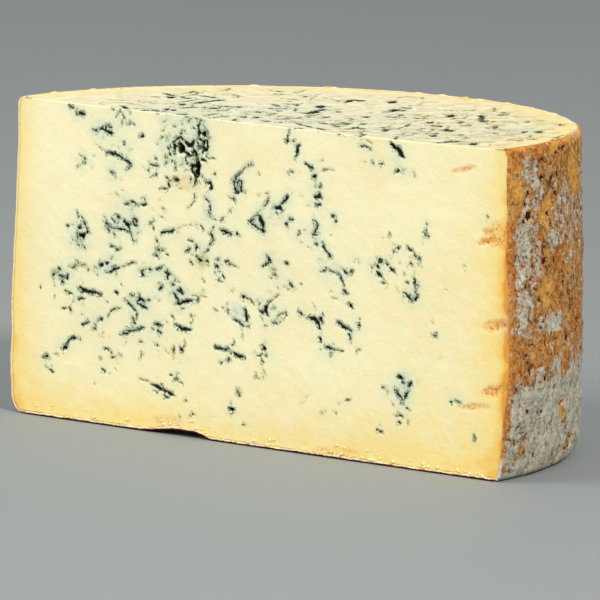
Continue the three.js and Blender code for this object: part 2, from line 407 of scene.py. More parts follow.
    (0.5, 0.9, -53.2, 66.2, -52.4, 65.2), (0.5, 0.9, -51.4, 69.3, -51.1, 67.3, -49.8, 66.6),
    (0.35, 0.75, -50.6, 69.4, -49.6, 68.2, -50.2, 66.4), (0.3, 0.7, -51.9, 64.1, -51.1, 61.3, -49.5, 61.6),
    (0.35, 0.9, -60.6, 59.0, -59.2, 59.1), (0.35, 0.8, -58.0, 58.1, -56.4, 58.5),
    (0.45, 0.85, -44.1, 68.2, -43.7, 67.8), (0.4, 0.8, -43.2, 66.6, -42.6, 66.4),
    (0.3, 0.35, -43.4, 68.6, -42.2, 69.2), (0.4, 0.9, -39.5, 65.2, -35.4, 66.5, -33.9, 67.0),
    (0.3, 0.35, -33.9, 67.0, -30.8, 68.0, -27.0, 69.3, -24.4, 69.6), (0.3, 0.6, -41.4, 63.2, -40.8, 60.4),
    (0.4, 0.7, -42.0, 60.0, -38.6, 60.0), (0.6, 0.9, -41.8, 57.9, -40.9, 57.8),
    (0.35, 0.4, -38.0, 59.2, -36.2, 58.4), (0.4, 0.45, -28.0, 64.4, -26.4, 63.8),
    (0.45, 0.9, -29.3, 60.5, -27.6, 61.6), (0.4, 0.85, -25.3, 61.0, -24.8, 62.6),
    (0.5, 0.85, -21.6, 60.8, -19.8, 61.9), (0.4, 0.7, -24.8, 59.3, -24.2, 58.9),
    (0.8, 0.8, -23.8, 58.3, -22.6, 57.8), (0.5, 0.8, -20.4, 58.3, -19.9, 57.5),
    (0.35, 0.5, -27.4, 57.4, -26.2, 56.4), (0.5, 0.95, -14.8, 68.8, -12.4, 68.2, -10.4, 67.9),
    (0.75, 0.95, -8.6, 68.2, -8.0, 67.7), (0.4, 0.9, -16.2, 59.4, -15.4, 59.2),
    (0.8, 0.95, -16.5, 57.2, -15.8, 56.6), (0.5, 0.9, -12.6, 58.6, -11.5, 59.1),
    (0.3, 0.5, -11.4, 58.4, -7.3, 57.4), (0.6, 0.9, -13.5, 54.2, -13.1, 53.8),
    (0.45, 0.8, -15.5, 52.6, -15.1, 52.2), (0.35, 0.5, -15.8, 55.4, -14.4, 54.8),
    (0.45, 0.9, -44.3, 53.2, -43.2, 52.8), (0.5, 0.9, -47.4, 51.8, -46.3, 50.6),
    (0.3, 0.6, -47.8, 52.2, -45.0, 53.0), (0.45, 0.8, -41.7, 53.5, -38.6, 54.2),
    (0.4, 0.75, -36.4, 52.5, -36.8, 50.4), (0.3, 0.6, -37.6, 52.9, -35.2, 52.4),
    (0.35, 0.6, -50.0, 54.9, -55.3, 52.9), (0.6, 0.95, -56.5, 52.4, -59.0, 51.9, -60.8, 50.7),
    (0.3, 0.8, -60.8, 50.7, -62.0, 50.2), (0.8, 0.9, -64.6, 52.2, -63.4, 52.5),
    (0.4, 0.7, -62.6, 52.9, -61.0, 53.5), (0.35, 0.35, -60.4, 54.6, -59.4, 56.0),
    (0.4, 0.85, -74.6, 51.0, -76.1, 49.9), (0.3, 0.5, -74.0, 51.3, -70.9, 51.8),
    (0.35, 0.55, -70.1, 50.0, -69.2, 50.2), (0.55, 0.9, -82.8, 49.1, -81.5, 49.5),
    (0.5, 0.7, -84.9, 46.9, -84.3, 47.8), (0.35, 0.85, -82.4, 47.3, -79.9, 46.8, -78.4, 46.9),
    (0.35, 0.7, -78.6, 47.8, -78.5, 46.2), (0.4, 0.8, -80.8, 45.8, -80.3, 45.0),
    (0.4, 0.3, -84.2, 43.9, -83.2, 43.4), (0.35, 0.3, -78.2, 50.2, -76.6, 50.4),
    (0.4, 0.4, -89.9, 42.7, -89.3, 42.4), (0.5, 1.0, -73.4, 43.9, -70.3, 43.2, -67.0, 42.9, -64.3, 42.6),
    (0.35, 0.5, -79.6, 42.9, -77.4, 42.3), (0.4, 0.85, -77.6, 42.0, -76.0, 41.7),
    (0.5, 0.9, -74.0, 40.3, -71.5, 40.9), (0.5, 0.6, -58.4, 44.2, -57.2, 43.8),
    (0.3, 0.3, -62.4, 40.6, -61.2, 40.4), (0.3, 0.75, -54.0, 42.1, -52.2, 41.2, -50.0, 39.8),
    (0.5, 0.65, -80.2, 36.6, -79.0, 36.4), (0.35, 0.55, -77.6, 37.4, -76.8, 35.7),
    (0.35, 0.45, -72.2, 35.3, -71.4, 35.1), (0.3, 0.6, -55.9, 39.0, -59.3, 38.4, -60.9, 36.0),
    (0.6, 0.95, -64.9, 34.7, -63.6, 35.1), (0.3, 0.3, -56.0, 47.4, -55.6, 46.4),
    (0.35, 0.9, -52.0, 44.1, -50.4, 43.8), (0.5, 0.95, -48.9, 41.9, -47.3, 42.9, -45.8, 42.6),
    (0.4, 0.95, -48.3, 41.0, -44.8, 40.4), (0.35, 0.7, -44.6, 43.2, -43.8, 43.2),
    (0.35, 0.4, -42.6, 43.8, -41.4, 44.2), (0.35, 0.6, -51.7, 40.4, -49.5, 38.5, -49.2, 36.0),
    (0.6, 0.9, -50.5, 35.0, -49.7, 34.8), (0.5, 0.9, -39.8, 46.9, -38.3, 47.8),
    (0.5, 0.8, -34.8, 49.2, -33.6, 49.0), (0.5, 0.85, -32.6, 46.9, -31.1, 47.4, -30.1, 46.6),
    (0.4, 0.9, -33.8, 46.2, -32.6, 44.8, -32.0, 43.5), (0.55, 1.0, -32.6, 42.9, -29.5, 43.8, -26.4, 44.8),
    (0.35, 0.4, -33.2, 50.6, -31.4, 50.2), (0.3, 0.4, -26.4, 46.5, -23.0, 46.6, -20.1, 46.2),
    (0.4, 0.5, -21.8, 48.4, -21.0, 48.0), (0.5, 0.55, -17.3, 42.9, -16.0, 42.7),
    # the grey wedge of mould and what hangs from it
    (0.55, 1.0, -4.5, 44.2, -4.4, 42.4, -3.9, 40.4), (0.3, 0.8, -8.9, 40.5, -6.4, 39.6, -4.5, 38.3),
    (0.4, 0.8, -3.1, 38.7, -2.7, 38.5), (0.3, 0.5, -5.8, 36.0, -5.4, 34.8),
    (0.5, 0.85, -11.5, 43.1, -11.3, 42.4), (0.5, 0.85, -5.8, 48.3, -5.0, 48.1),
    (0.35, 0.5, -4.5, 47.9, -1.1, 46.0), (0.3, 0.35, -25.1, 40.4, -27.0, 36.6),
    (0.5, 1.0, -32.8, 36.1, -30.4, 35.1, -27.0, 35.1), (0.35, 0.35, -34.6, 38.6, -33.8, 38.4),
    (0.6, 0.9, -41.4, 35.4, -38.9, 34.9),
    # right of the middle
    (0.35, 0.5, 16.0, 70.3, 17.2, 70.2), (0.35, 0.35, 17.6, 67.7, 18.6, 67.5),
    (0.55, 0.75, 23.3, 67.7, 24.3, 68.2), (0.35, 0.3, 22.0, 70.2, 24.0, 69.6),
    (0.45, 0.85, 26.9, 68.4, 27.3, 66.9, 28.6, 65.6), (0.5, 0.95, 29.2, 65.0, 29.8, 64.5),
    (0.7, 0.85, 4.4, 61.8, 5.4, 60.8), (0.4, 0.75, 4.8, 60.0, 3.6, 59.0, 2.4, 58.5),
    (0.4, 0.35, 7.6, 58.3, 8.6, 57.9), (0.55, 0.85, 11.6, 60.9, 12.6, 60.7),
    (0.3, 0.4, 5.4, 55.5, 6.4, 55.3), (0.4, 0.95, 25.9, 59.4, 28.1, 60.3),
    (0.3, 0.7, 28.1, 60.3, 30.6, 59.9, 32.8, 59.4), (0.45, 0.9, 32.8, 59.4, 34.1, 58.2, 35.6, 56.0),
    (0.4, 0.8, 34.6, 60.9, 35.4, 60.4, 36.9, 59.6), (0.5, 0.9, 37.6, 60.4, 38.8, 61.0),
    (0.65, 0.9, 35.4, 54.0, 36.3, 53.4), (0.4, 0.35, 40.8, 64.2, 41.0, 63.4),
    (0.45, 0.3, 30.0, 51.3, 32.8, 51.4), (0.5, 0.9, 37.6, 49.8, 38.6, 49.4),
    (0.35, 0.85, 13.1, 55.2, 13.4, 54.1, 15.0, 53.2), (0.35, 0.25, 12.0, 52.5, 13.2, 52.3),
    (0.5, 0.3, 17.2, 54.6, 18.4, 54.2), (0.35, 0.55, 9.1, 50.4, 6.3, 48.5, 4.1, 46.6),
    (0.7, 1.0, 4.1, 46.3, 3.8, 44.4, 4.8, 43.2), (0.4, 0.85, 1.2, 44.5, 2.8, 43.5),
    (0.4, 0.9, 6.4, 45.7, 7.4, 45.7), (0.35, 0.55, 0.6, 46.8, 1.8, 46.4), (0.35, 0.5, 1.8, 41.8, 2.6, 41.4),
    (0.35, 0.6, 3.6, 39.7, 4.2, 39.5), (0.3, 0.45, 6.9, 41.3, 9.4, 43.5, 12.2, 44.8, 12.5, 43.5, 9.4, 41.0),
    (0.3, 0.75, 6.6, 41.4, 9.1, 40.6), (0.6, 0.95, 17.5, 45.2, 18.8, 44.4),
    (0.5, 0.9, 21.3, 44.0, 24.1, 43.8, 25.0, 42.6, 25.9, 40.8),
    (0.4, 0.9, 27.0, 45.6, 25.9, 44.4, 26.6, 42.6), (0.55, 0.85, 25.7, 38.2, 26.1, 37.2),
    (0.3, 0.4, 26.2, 40.4, 26.0, 38.6), (0.7, 0.95, 28.4, 35.2, 30.8, 34.9),
    (0.4, 0.45, 31.0, 34.8, 35.4, 34.9), (0.3, 0.2, 22.6, 49.0, 24.4, 47.0),
    (0.45, 0.95, 32.8, 44.1, 35.0, 42.6, 37.3, 42.1, 38.4, 41.6), (0.55, 0.65, 37.7, 40.8, 38.1, 38.6),
    (0.65, 1.0, 41.5, 43.8, 41.6, 43.1), (0.5, 0.3, 41.4, 35.8, 42.4, 35.6),
    (0.8, 0.55, 48.6, 65.4, 50.0, 65.0), (0.55, 0.85, 47.4, 63.5, 48.8, 62.9),
    (0.6, 0.9, 48.6, 61.3, 49.8, 60.2), (0.4, 0.55, 49.8, 58.4, 51.6, 57.8),
    (0.7, 1.0, 51.9, 64.7, 52.6, 64.5), (0.45, 0.9, 53.4, 63.4, 54.2, 62.6, 55.3, 62.2),
    (0.55, 1.0, 56.4, 69.9, 56.9, 69.7), (0.45, 0.8, 60.3, 70.6, 62.5, 69.4),
    (0.4, 0.65, 62.5, 69.4, 63.4, 67.6, 65.0, 66.4), (0.4, 0.7, 64.8, 68.0, 65.2, 66.2),
    (0.35, 0.5, 61.0, 65.6, 62.4, 65.4), (0.45, 0.4, 58.8, 62.3, 59.8, 61.6),
    (0.35, 0.55, 59.8, 59.4, 60.9, 59.2), (0.55, 1.0, 63.2, 60.9, 63.4, 58.4),
    (0.4, 0.8, 64.3, 59.0, 64.7, 58.4), (0.3, 0.7, 63.3, 57.8, 63.4, 56.4),
    (0.4, 0.85, 59.3, 56.0, 61.4, 54.4, 62.8, 53.4), (0.45, 0.8, 64.4, 55.8, 63.4, 54.1),
    (0.4, 0.35, 75.3, 58.9, 75.9, 58.5), (0.35, 0.2, 81.6, 66.6, 83.4, 66.2),
    (0.4, 0.8, 71.0, 43.3, 72.2, 43.4), (0.35, 0.2, 73.4, 36.2, 74.8, 37.4),
    # low down, from the left
    (0.4, 0.9, -72.1, 31.9, -70.6, 32.4, -69.0, 33.1), (0.55, 0.55, -67.2, 31.1, -66.4, 30.9),
    (0.3, 0.3, -64.6, 28.9, -62.8, 28.8), (0.45, 0.95, -74.7, 27.5, -77.1, 26.4, -78.1, 25.3),
    (0.95, 1.0, -80.0, 23.6, -78.4, 23.9), (0.45, 0.8, -88.7, 19.3, -86.2, 20.3),
    (0.3, 0.25, -84.2, 21.2, -82.6, 21.1), (0.45, 0.5, -85.3, 15.9, -83.7, 15.2),
    (0.35, 0.7, -62.8, 25.1, -60.9, 25.0), (0.4, 0.7, -60.0, 24.5, -59.4, 24.0),
    (0.4, 0.55, -59.5, 22.8, -57.6, 22.8), (0.45, 0.6, -56.4, 24.0, -55.6, 23.8),
    (0.4, 0.75, -63.7, 18.4, -62.1, 17.6), (0.3, 0.25, -61.0, 17.1, -59.4, 16.8),
    (0.3, 0.6, -56.5, 30.5, -54.6, 30.7), (0.5, 0.95, -54.6, 30.7, -53.2, 31.0, -52.0, 31.9, -50.6, 32.5),
    (0.4, 0.8, -50.6, 32.5, -49.2, 32.7, -46.4, 33.8), (0.35, 0.25, -66.8, 13.0, -66.0, 13.4),
    (0.5, 0.65, -47.6, 29.0, -46.4, 28.8), (0.5, 0.65, -41.4, 28.7, -40.4, 28.6),
    (0.5, 0.9, -40.2, 33.4, -38.6, 32.6), (0.5, 0.75, -33.4, 28.7, -33.6, 26.9),
    (0.55, 1.0, -30.6, 28.6, -30.0, 27.9), (0.45, 0.35, -28.9, 31.3, -29.5, 28.9),
    (0.35, 0.25, -37.4, 27.6, -35.6, 26.2), (0.4, 0.95, -16.1, 30.5, -12.9, 30.1, -10.4, 30.4),
    (0.55, 1.0, -9.5, 29.4, -7.0, 28.9, -4.2, 28.6), (0.45, 0.9, -11.5, 27.0, -10.7, 27.1),
    (0.3, 0.55, -14.6, 25.4, -13.2, 26.2), (0.45, 0.45, -8.5, 33.6, -9.2, 31.6),
    (0.9, 1.0, 3.1, 32.6, 3.6, 32.1), (0.35, 0.65, 0.7, 29.7, 2.8, 30.5), (0.4, 0.9, 4.0, 30.6, 4.8, 30.4),
    (0.35, 0.65, 2.8, 28.6, 3.4, 28.1), (0.22, 0.35, 3.4, 25.6, 4.3, 24.1, 3.8, 21.9),
    (0.5, 0.3, -48.3, 17.2, -42.6, 15.5), (0.55, 1.0, -42.5, 15.4, -38.3, 14.5, -33.6, 13.3),
    (0.5, 0.45, -41.6, 13.5, -40.0, 12.6), (0.4, 0.8, -37.1, 12.6, -35.4, 12.4),
    (0.4, 0.45, -35.0, 19.6, -34.0, 19.4), (0.5, 0.45, -33.8, 18.0, -31.4, 18.4),
    (0.4, 0.45, -30.8, 17.5, -29.6, 17.3), (0.3, 0.35, -32.0, 20.0, -31.0, 20.0),
    (0.55, 0.5, -28.6, 12.0, -27.4, 11.8), (0.5, 0.85, -6.2, 16.7, -5.9, 15.9),
    (0.35, 0.4, -7.4, 17.5, -6.8, 17.3), (0.45, 1.0, -10.3, 11.3, -8.2, 11.2),
    (0.35, 0.3, -26.8, 6.9, -25.4, 6.7), (0.25, 0.12, -24.5, 6.6, -19.0, 7.4, -15.1, 7.8),
    (0.45, 0.7, 51.4, 25.2, 52.5, 25.1), (0.45, 0.5, 36.4, 19.1, 38.8, 19.5),
    (0.3, 0.3, 32.0, 14.8, 33.4, 14.6, 32.8, 13.6), (0.5, 0.65, 49.0, 11.2, 49.8, 11.0),
    (0.45, 0.75, 50.4, 10.4, 51.8, 10.7), (0.9, 1.0, 58.0, 29.2, 58.8, 28.7),
    (0.45, 0.8, 59.0, 27.6, 59.6, 27.0), (0.65, 1.0, 62.8, 27.8, 61.6, 26.4),
    (0.6, 0.95, 61.4, 24.9, 60.4, 23.0), (0.5, 0.8, 56.1, 24.4, 57.2, 24.9),
    (0.5, 0.9, 57.4, 24.2, 58.6, 23.0, 59.7, 21.8), (0.45, 0.85, 58.7, 21.0, 59.6, 20.8),
    (0.35, 0.5, 55.4, 20.0, 55.9, 19.4), (0.35, 0.45, 60.6, 19.6, 62.2, 18.6),
    (0.35, 0.65, 56.7, 16.2, 58.0, 16.8, 59.5, 16.5), (0.4, 0.7, 57.9, 14.5, 58.8, 14.3),
    (0.4, 0.8, 78.3, 23.3, 79.0, 23.2), (0.35, 0.9, 80.5, 23.6, 82.0, 23.5),
    (0.32, 0.95, 87.9, 13.4, 87.9, 12.6), (0.3, 0.7, 98.0, 49.4, 98.8, 49.8),
)

# On the top: half width, shade, and x and how far back from the cut face each point is
TOP_VEINS = veins(
    (0.5, 0.6, -73.6, 45.6, -70.5, 42.0, -68.4, 40.0), (1.3, 1.0, -67.4, 38.6, -64.4, 35.6),
    (1.0, 1.0, -61.4, 40.8, -60.2, 39.0), (0.8, 0.4, -71.4, 35.2, -69.6, 33.4),
    (0.8, 0.55, -60.6, 50.6, -57.4, 46.4, -55.4, 44.0), (0.9, 0.5, -55.4, 43.0, -49.8, 36.4, -46.4, 32.4),
    (0.6, 0.35, -59.0, 39.0, -56.0, 34.0, -52.0, 29.0), (0.8, 0.75, -51.8, 76.4, -49.0, 73.4),
    (0.8, 0.65, -46.8, 71.6, -43.6, 68.4), (0.6, 0.3, -38.4, 64.4, -34.0, 59.4),
    (0.9, 0.75, -19.4, 77.4, -16.6, 74.0), (0.9, 0.9, -19.6, 73.4, -16.8, 68.6),
    (1.3, 0.6, -8.6, 82.0, -5.4, 77.2), (1.2, 0.65, -17.4, 54.6, -14.6, 51.4),
    (0.8, 0.9, -13.6, 48.2, -10.4, 45.4, -9.4, 43.0), (0.8, 0.85, -11.4, 42.4, -9.0, 39.4, -7.0, 37.0),
    (0.6, 0.4, -6.6, 36.4, -1.0, 31.0), (0.9, 0.45, -5.0, 48.2, -3.4, 46.6),
    (0.4, 0.7, -25.6, 52.6, -23.0, 49.6), (0.8, 0.35, -31.0, 48.4, -25.0, 42.0),
    (0.9, 0.55, -25.0, 42.0, -21.0, 37.2), (0.8, 0.95, -20.4, 37.0, -18.6, 34.8),
    (0.6, 0.7, -23.0, 28.8, -20.4, 26.2), (0.7, 0.6, -41.6, 36.8, -38.8, 32.0, -35.8, 27.6),
    (0.6, 0.8, -41.0, 26.6, -37.6, 23.4, -35.4, 20.8), (0.7, 0.6, -33.4, 23.0, -30.8, 20.6),
    (0.6, 0.7, -52.8, 26.8, -50.4, 23.8), (0.6, 0.5, -48.6, 26.6, -44.0, 20.6, -41.6, 15.6),
    (0.6, 0.4, -49.6, 20.6, -46.4, 15.6), (0.9, 1.0, -47.2, 12.0, -45.0, 9.4),
    (0.6, 0.95, -45.0, 13.0, -42.4, 9.6), (0.9, 0.85, -45.4, 8.0, -42.6, 4.6),
    (0.7, 0.5, -47.4, 6.0, -45.0, 3.0), (1.0, 0.45, -50.4, 4.0, -49.4, 2.0),
    (0.6, 0.7, -62.4, 8.0, -58.0, 4.0, -54.6, 0.8), (1.3, 1.0, -17.6, 14.6, -16.6, 13.0),
    (0.9, 0.95, -13.8, 16.6, -11.6, 13.2), (0.7, 0.8, -24.4, 10.0, -22.4, 7.6, -18.2, 2.6),
    (0.7, 0.7, -36.0, 5.4, -32.4, 1.6), (0.9, 0.4, -7.0, 23.4, -3.8, 19.8, -2.6, 16.0),
    (0.7, 0.6, -5.4, 10.8, -3.4, 7.6), (0.8, 0.9, 0.4, 11.0, 1.8, 9.0), (0.9, 0.3, -30.0, 14.0, -25.0, 6.0),
    (1.7, 1.0, 5.0, 65.4, 7.6, 62.0), (0.9, 0.8, 8.0, 65.0, 9.2, 63.4), (0.8, 0.45, 4.6, 72.0, 6.4, 68.6),
    (0.7, 0.4, 6.4, 60.0, 8.6, 57.0), (0.7, 0.75, 15.4, 54.4, 17.0, 52.4),
    (0.7, 0.85, 15.2, 50.2, 16.8, 47.8), (0.9, 0.75, 9.8, 44.4, 11.0, 42.0),
    (0.6, 0.6, 9.4, 38.4, 11.8, 32.4), (1.2, 0.45, 0.4, 34.6, 2.0, 32.8),
    (0.7, 0.9, 21.0, 27.6, 22.6, 25.2), (0.9, 0.5, 22.4, 53.0, 27.4, 51.2),
    (1.0, 0.85, 27.6, 65.8, 30.2, 61.8), (0.6, 0.6, 29.6, 68.4, 30.6, 66.6),
    (0.9, 0.9, 35.4, 71.6, 38.6, 68.4), (0.8, 0.4, 38.6, 68.4, 42.4, 62.0, 46.4, 57.4),
    (1.4, 0.35, 38.2, 78.2, 40.4, 76.6), (1.6, 1.0, 34.4, 44.4, 36.8, 47.4),
    (0.8, 0.4, 40.0, 40.0, 43.0, 36.0), (0.7, 0.95, 42.2, 31.4, 43.8, 29.4),
    (1.4, 0.55, 49.6, 33.4, 52.6, 30.4), (1.2, 0.3, 46.6, 48.6, 49.6, 45.4),
    (0.8, 0.4, 55.6, 53.0, 58.2, 46.4), (0.6, 0.3, 71.6, 58.4, 74.6, 52.4),
    (1.0, 0.6, 74.6, 50.4, 76.4, 46.4), (0.7, 0.45, 70.4, 46.4, 74.0, 43.0),
    (1.2, 0.85, 55.6, 18.6, 57.6, 16.4), (0.9, 0.45, 52.4, 23.6, 54.4, 21.6),
    (0.7, 0.85, 66.4, 10.6, 69.0, 7.4, 73.6, 3.4), (1.1, 0.95, 77.6, 10.2, 79.6, 7.6),
    (0.6, 0.6, 77.0, 7.4, 80.0, 4.4), (0.6, 0.85, 24.6, 18.6, 26.6, 16.4),
    (0.6, 0.85, 25.6, 14.6, 27.2, 12.6), (0.6, 0.8, 28.4, 17.0, 29.6, 15.0),
    (0.7, 0.6, 10.4, 20.4, 14.0, 16.6), (0.7, 0.55, 8.6, 13.0, 15.0, 5.6), (0.6, 0.6, 18.6, 8.0, 21.0, 4.6),
    (0.9, 0.95, 13.4, 2.6, 15.6, 0.4), (0.7, 0.65, 34.6, 20.6, 38.6, 17.0),
    (0.6, 0.7, 38.4, 1.6, 41.6, 0.2), (0.5, 0.4, 47.6, 8.0, 55.0, 1.6), (1.0, 0.35, 56.0, 68.6, 57.4, 66.4),
    (0.5, 0.3, 57.4, 53.0, 54.4, 56.0), (0.9, 0.3, 85.0, 32.0, 87.0, 29.0),
    (0.6, 0.3, 62.0, 34.0, 69.0, 38.0), (0.6, 0.25, 70.0, 30.0, 77.0, 36.0),
    (0.6, 0.3, 58.0, 42.0, 65.0, 48.0), (0.6, 0.25, 78.0, 24.0, 84.0, 27.0),
    (0.6, 0.3, 66.0, 22.0, 73.0, 27.0), (0.6, 0.25, 50.0, 60.0, 58.0, 66.0),
    (0.6, 0.25, 84.0, 40.0, 89.0, 36.0),
)

# Soft patches, on the same unfolded plane: the height on the cut face, or TOP plus the distance back
TOP = WHEEL.height
PATCHES: tuple[Patch, ...] = (
    *patches(
        Stain.GREY,
        (-36.0, 102.4, 7.0, 2.2, 6, 0.5), (-30.0, 92.5, 6.5, 6.5, 0, 0.2), (-8.4, 83.4, 2.2, 2.6, 0, 0.85),
        (-4.4, 90.4, 2.6, 1.4, 38, 0.4), (-20.0, 75.4, 3.2, 5.4, -10, 0.6), (0.6, 72.6, 2.0, 2.0, 0, 0.8),
        (-31.2, 46.0, 3.6, 3.4, 20, 0.7), (-41.6, 51.9, 2.8, 1.2, 0, 0.55),
        (-7.4, 43.3, 2.9, 2.9, -30, 1.1), (-10.0, 45.3, 2.8, 0.9, 14, 0.6), (34.8, 59.2, 2.0, 1.6, 0, 1.0),
        (9.8, 42.8, 3.2, 1.4, 38, 0.35), (38.0, 39.6, 1.3, 2.2, 0, 0.8), (25.2, 43.4, 2.4, 1.8, 0, 0.6),
        (49.6, 65.2, 2.0, 1.0, 0, 0.7), (55.6, 97.6, 1.6, 3.0, 0, 0.35), (62.2, 93.8, 1.6, 2.4, 0, 0.3),
        (4.8, 61.8, 2.6, 2.0, 0, 0.6), (8.8, 78.4, 3.0, 1.8, 20, 0.55), (7.0, 73.4, 2.0, 1.6, 0, 0.4),
        (42.6, 100.6, 3.0, 1.2, 0, 0.45), (-72.8, 62.2, 2.2, 5.4, 0, 0.4),
        (-56.0, 66.6, 5.4, 2.2, -6, 0.45), (-47.6, 42.0, 3.4, 1.8, -14, 0.45),
        (-62.0, 52.0, 3.4, 1.6, 10, 0.4), (-82.0, 47.4, 3.6, 2.0, 0, 0.35),
        (59.4, 23.6, 3.4, 6.4, -8, 0.35), (62.6, 56.4, 2.6, 3.4, 0, 0.35), (-15.0, 56.4, 2.6, 4.0, 0, 0.4),
        (25.0, 84.6, 2.0, 2.4, 0, 0.35), (-50.0, TOP + 30.0, 16.0, 9.0, -48, 0.35),
        (-24.0, TOP + 40.0, 7.0, 2.6, -48, 0.75), (-8.0, TOP + 42.0, 10.0, 3.0, -48, 0.5),
        (-38.0, TOP + 12.0, 20.0, 9.0, 0, 0.4), (2.0, TOP + 14.0, 24.0, 12.0, 0, 0.45),
        (13.0, TOP + 56.0, 7.0, 5.0, -40, 0.5), (40.0, TOP + 62.0, 6.0, 3.0, -50, 0.45),
        (72.0, TOP + 47.0, 5.0, 4.0, 0, 0.5), (46.0, TOP + 14.0, 20.0, 9.0, -20, 0.35),
        (-7.0, TOP + 79.0, 3.4, 2.2, -50, 0.6), (-6.0, TOP + 28.0, 62.0, 28.0, 0, 0.24),
        (64.0, TOP + 38.0, 25.0, 26.0, 0, 0.14),
    ),
    *patches(
        Stain.GREEN,
        (-26.0, 90.0, 7.0, 14.0, 8, 0.6),
    ),
    *patches(
        Stain.OLIVE,
        (-31.6, 82.6, 4.8, 2.4, 0, 0.4), (-22.4, 57.6, 3.6, 2.8, 0, 0.9), (-84.2, 47.4, 1.6, 2.4, 0, 0.8),
        (-73.0, 51.5, 3.0, 0.9, 10, 0.8), (1.8, 72.4, 3.4, 3.0, 0, 0.35), (-6.2, 17.4, 1.9, 1.9, 0, 0.9),
        (20.4, 18.0, 2.6, 0.9, 45, 0.8), (-33.6, 27.6, 1.5, 2.0, 0, 0.6),
        (27.0, TOP + 15.5, 4.0, 3.4, 0, 1.0),
    ),
    *patches(
        Stain.RUST,
        (-30.4, 82.4, 5.0, 2.4, 0, 0.13), (81.6, 97.2, 4.4, 1.0, 17, 0.9), (91.8, 78.4, 2.2, 1.1, 4, 1.3),
        (91.0, 75.4, 4.4, 1.0, 14, 1.3), (95.6, 77.8, 5.6, 4.2, 0, 0.6), (95.4, 49.3, 5.0, 1.8, 14, 1.1),
        (95.4, 28.6, 5.4, 1.9, 12, 1.2), (87.6, 22.8, 6.0, 1.0, 8, 0.7), (-36.0, 4.4, 6.0, 1.7, 4, 0.3),
        (-32.0, 2.6, 3.4, 1.0, 0, 0.75), (29.0, 1.6, 6.0, 1.2, 0, 0.6), (38.0, 2.2, 5.0, 1.4, 0, 0.4),
    ),
)


@dataclass(frozen=True)
class Hollow:
    """A hole that stays open in the cut: its middle, half sizes, depth and tilt, and how brown it is."""

    x: float
    t: float
    half_x: float
    half_t: float
    depth: float
    tilt: float = 0.0
    brown: float = 0.0


HOLLOWS = tuple(
    Hollow(*row)
    for row in (
        (-25.2, 89.4, 1.1, 1.9, 3.0, 10), (-25.1, 86.4, 1.0, 1.7, 3.4, 0), (-27.2, 87.2, 0.7, 2.0, 1.4, 8),
        (-22.8, 94.6, 0.9, 1.3, 1.6, 20), (-32.4, 93.0, 1.0, 1.1, 1.0, 0), (-31.6, 93.8, 1.0, 1.7, 1.6, 38),
        (-29.2, 92.0, 1.0, 0.8, 1.2, 0), (-23.2, 95.4, 1.0, 1.8, 1.9, -20),
        (-22.6, 99.0, 0.8, 1.4, 1.2, -30), (-34.2, 83.0, 1.3, 0.7, 1.8, -12, 1.0),
        (-9.2, 11.3, 1.2, 0.5, 1.4, 0), (-79.2, 23.6, 0.9, 0.7, 0.8, 0), (53.4, 102.0, 1.2, 0.8, 0.8, -30),
        (58.4, 28.8, 1.0, 0.8, 0.8, 0), (3.4, 32.3, 0.9, 0.8, 0.8, 0), (-72.4, 61.2, 1.1, 0.9, 0.9, 0),
        (6.3, TOP + 64.0, 2.0, 1.7, 1.4, 0), (35.8, TOP + 46.0, 1.8, 1.8, 1.3, 0),
        (78.8, TOP + 8.4, 1.4, 1.2, 1.0, 0), (-66.0, TOP + 37.0, 1.6, 1.2, 0.9, -40),
    )
)


class Bark(Enum):
    """What grows or shows on a patch of the rind."""

    BLOOM = "bloom"
    RUST = "rust"
    GOLD = "gold"
    LILAC = "lilac"
    OLIVE = "olive"


@dataclass(frozen=True)
class Growth:
    """A soft-edged patch of the rind: its kind, distance round the wall, height, half sizes and strength."""

    kind: Bark
    arc: float
    z: float
    half_arc: float
    half_z: float
    strength: float = 1.0


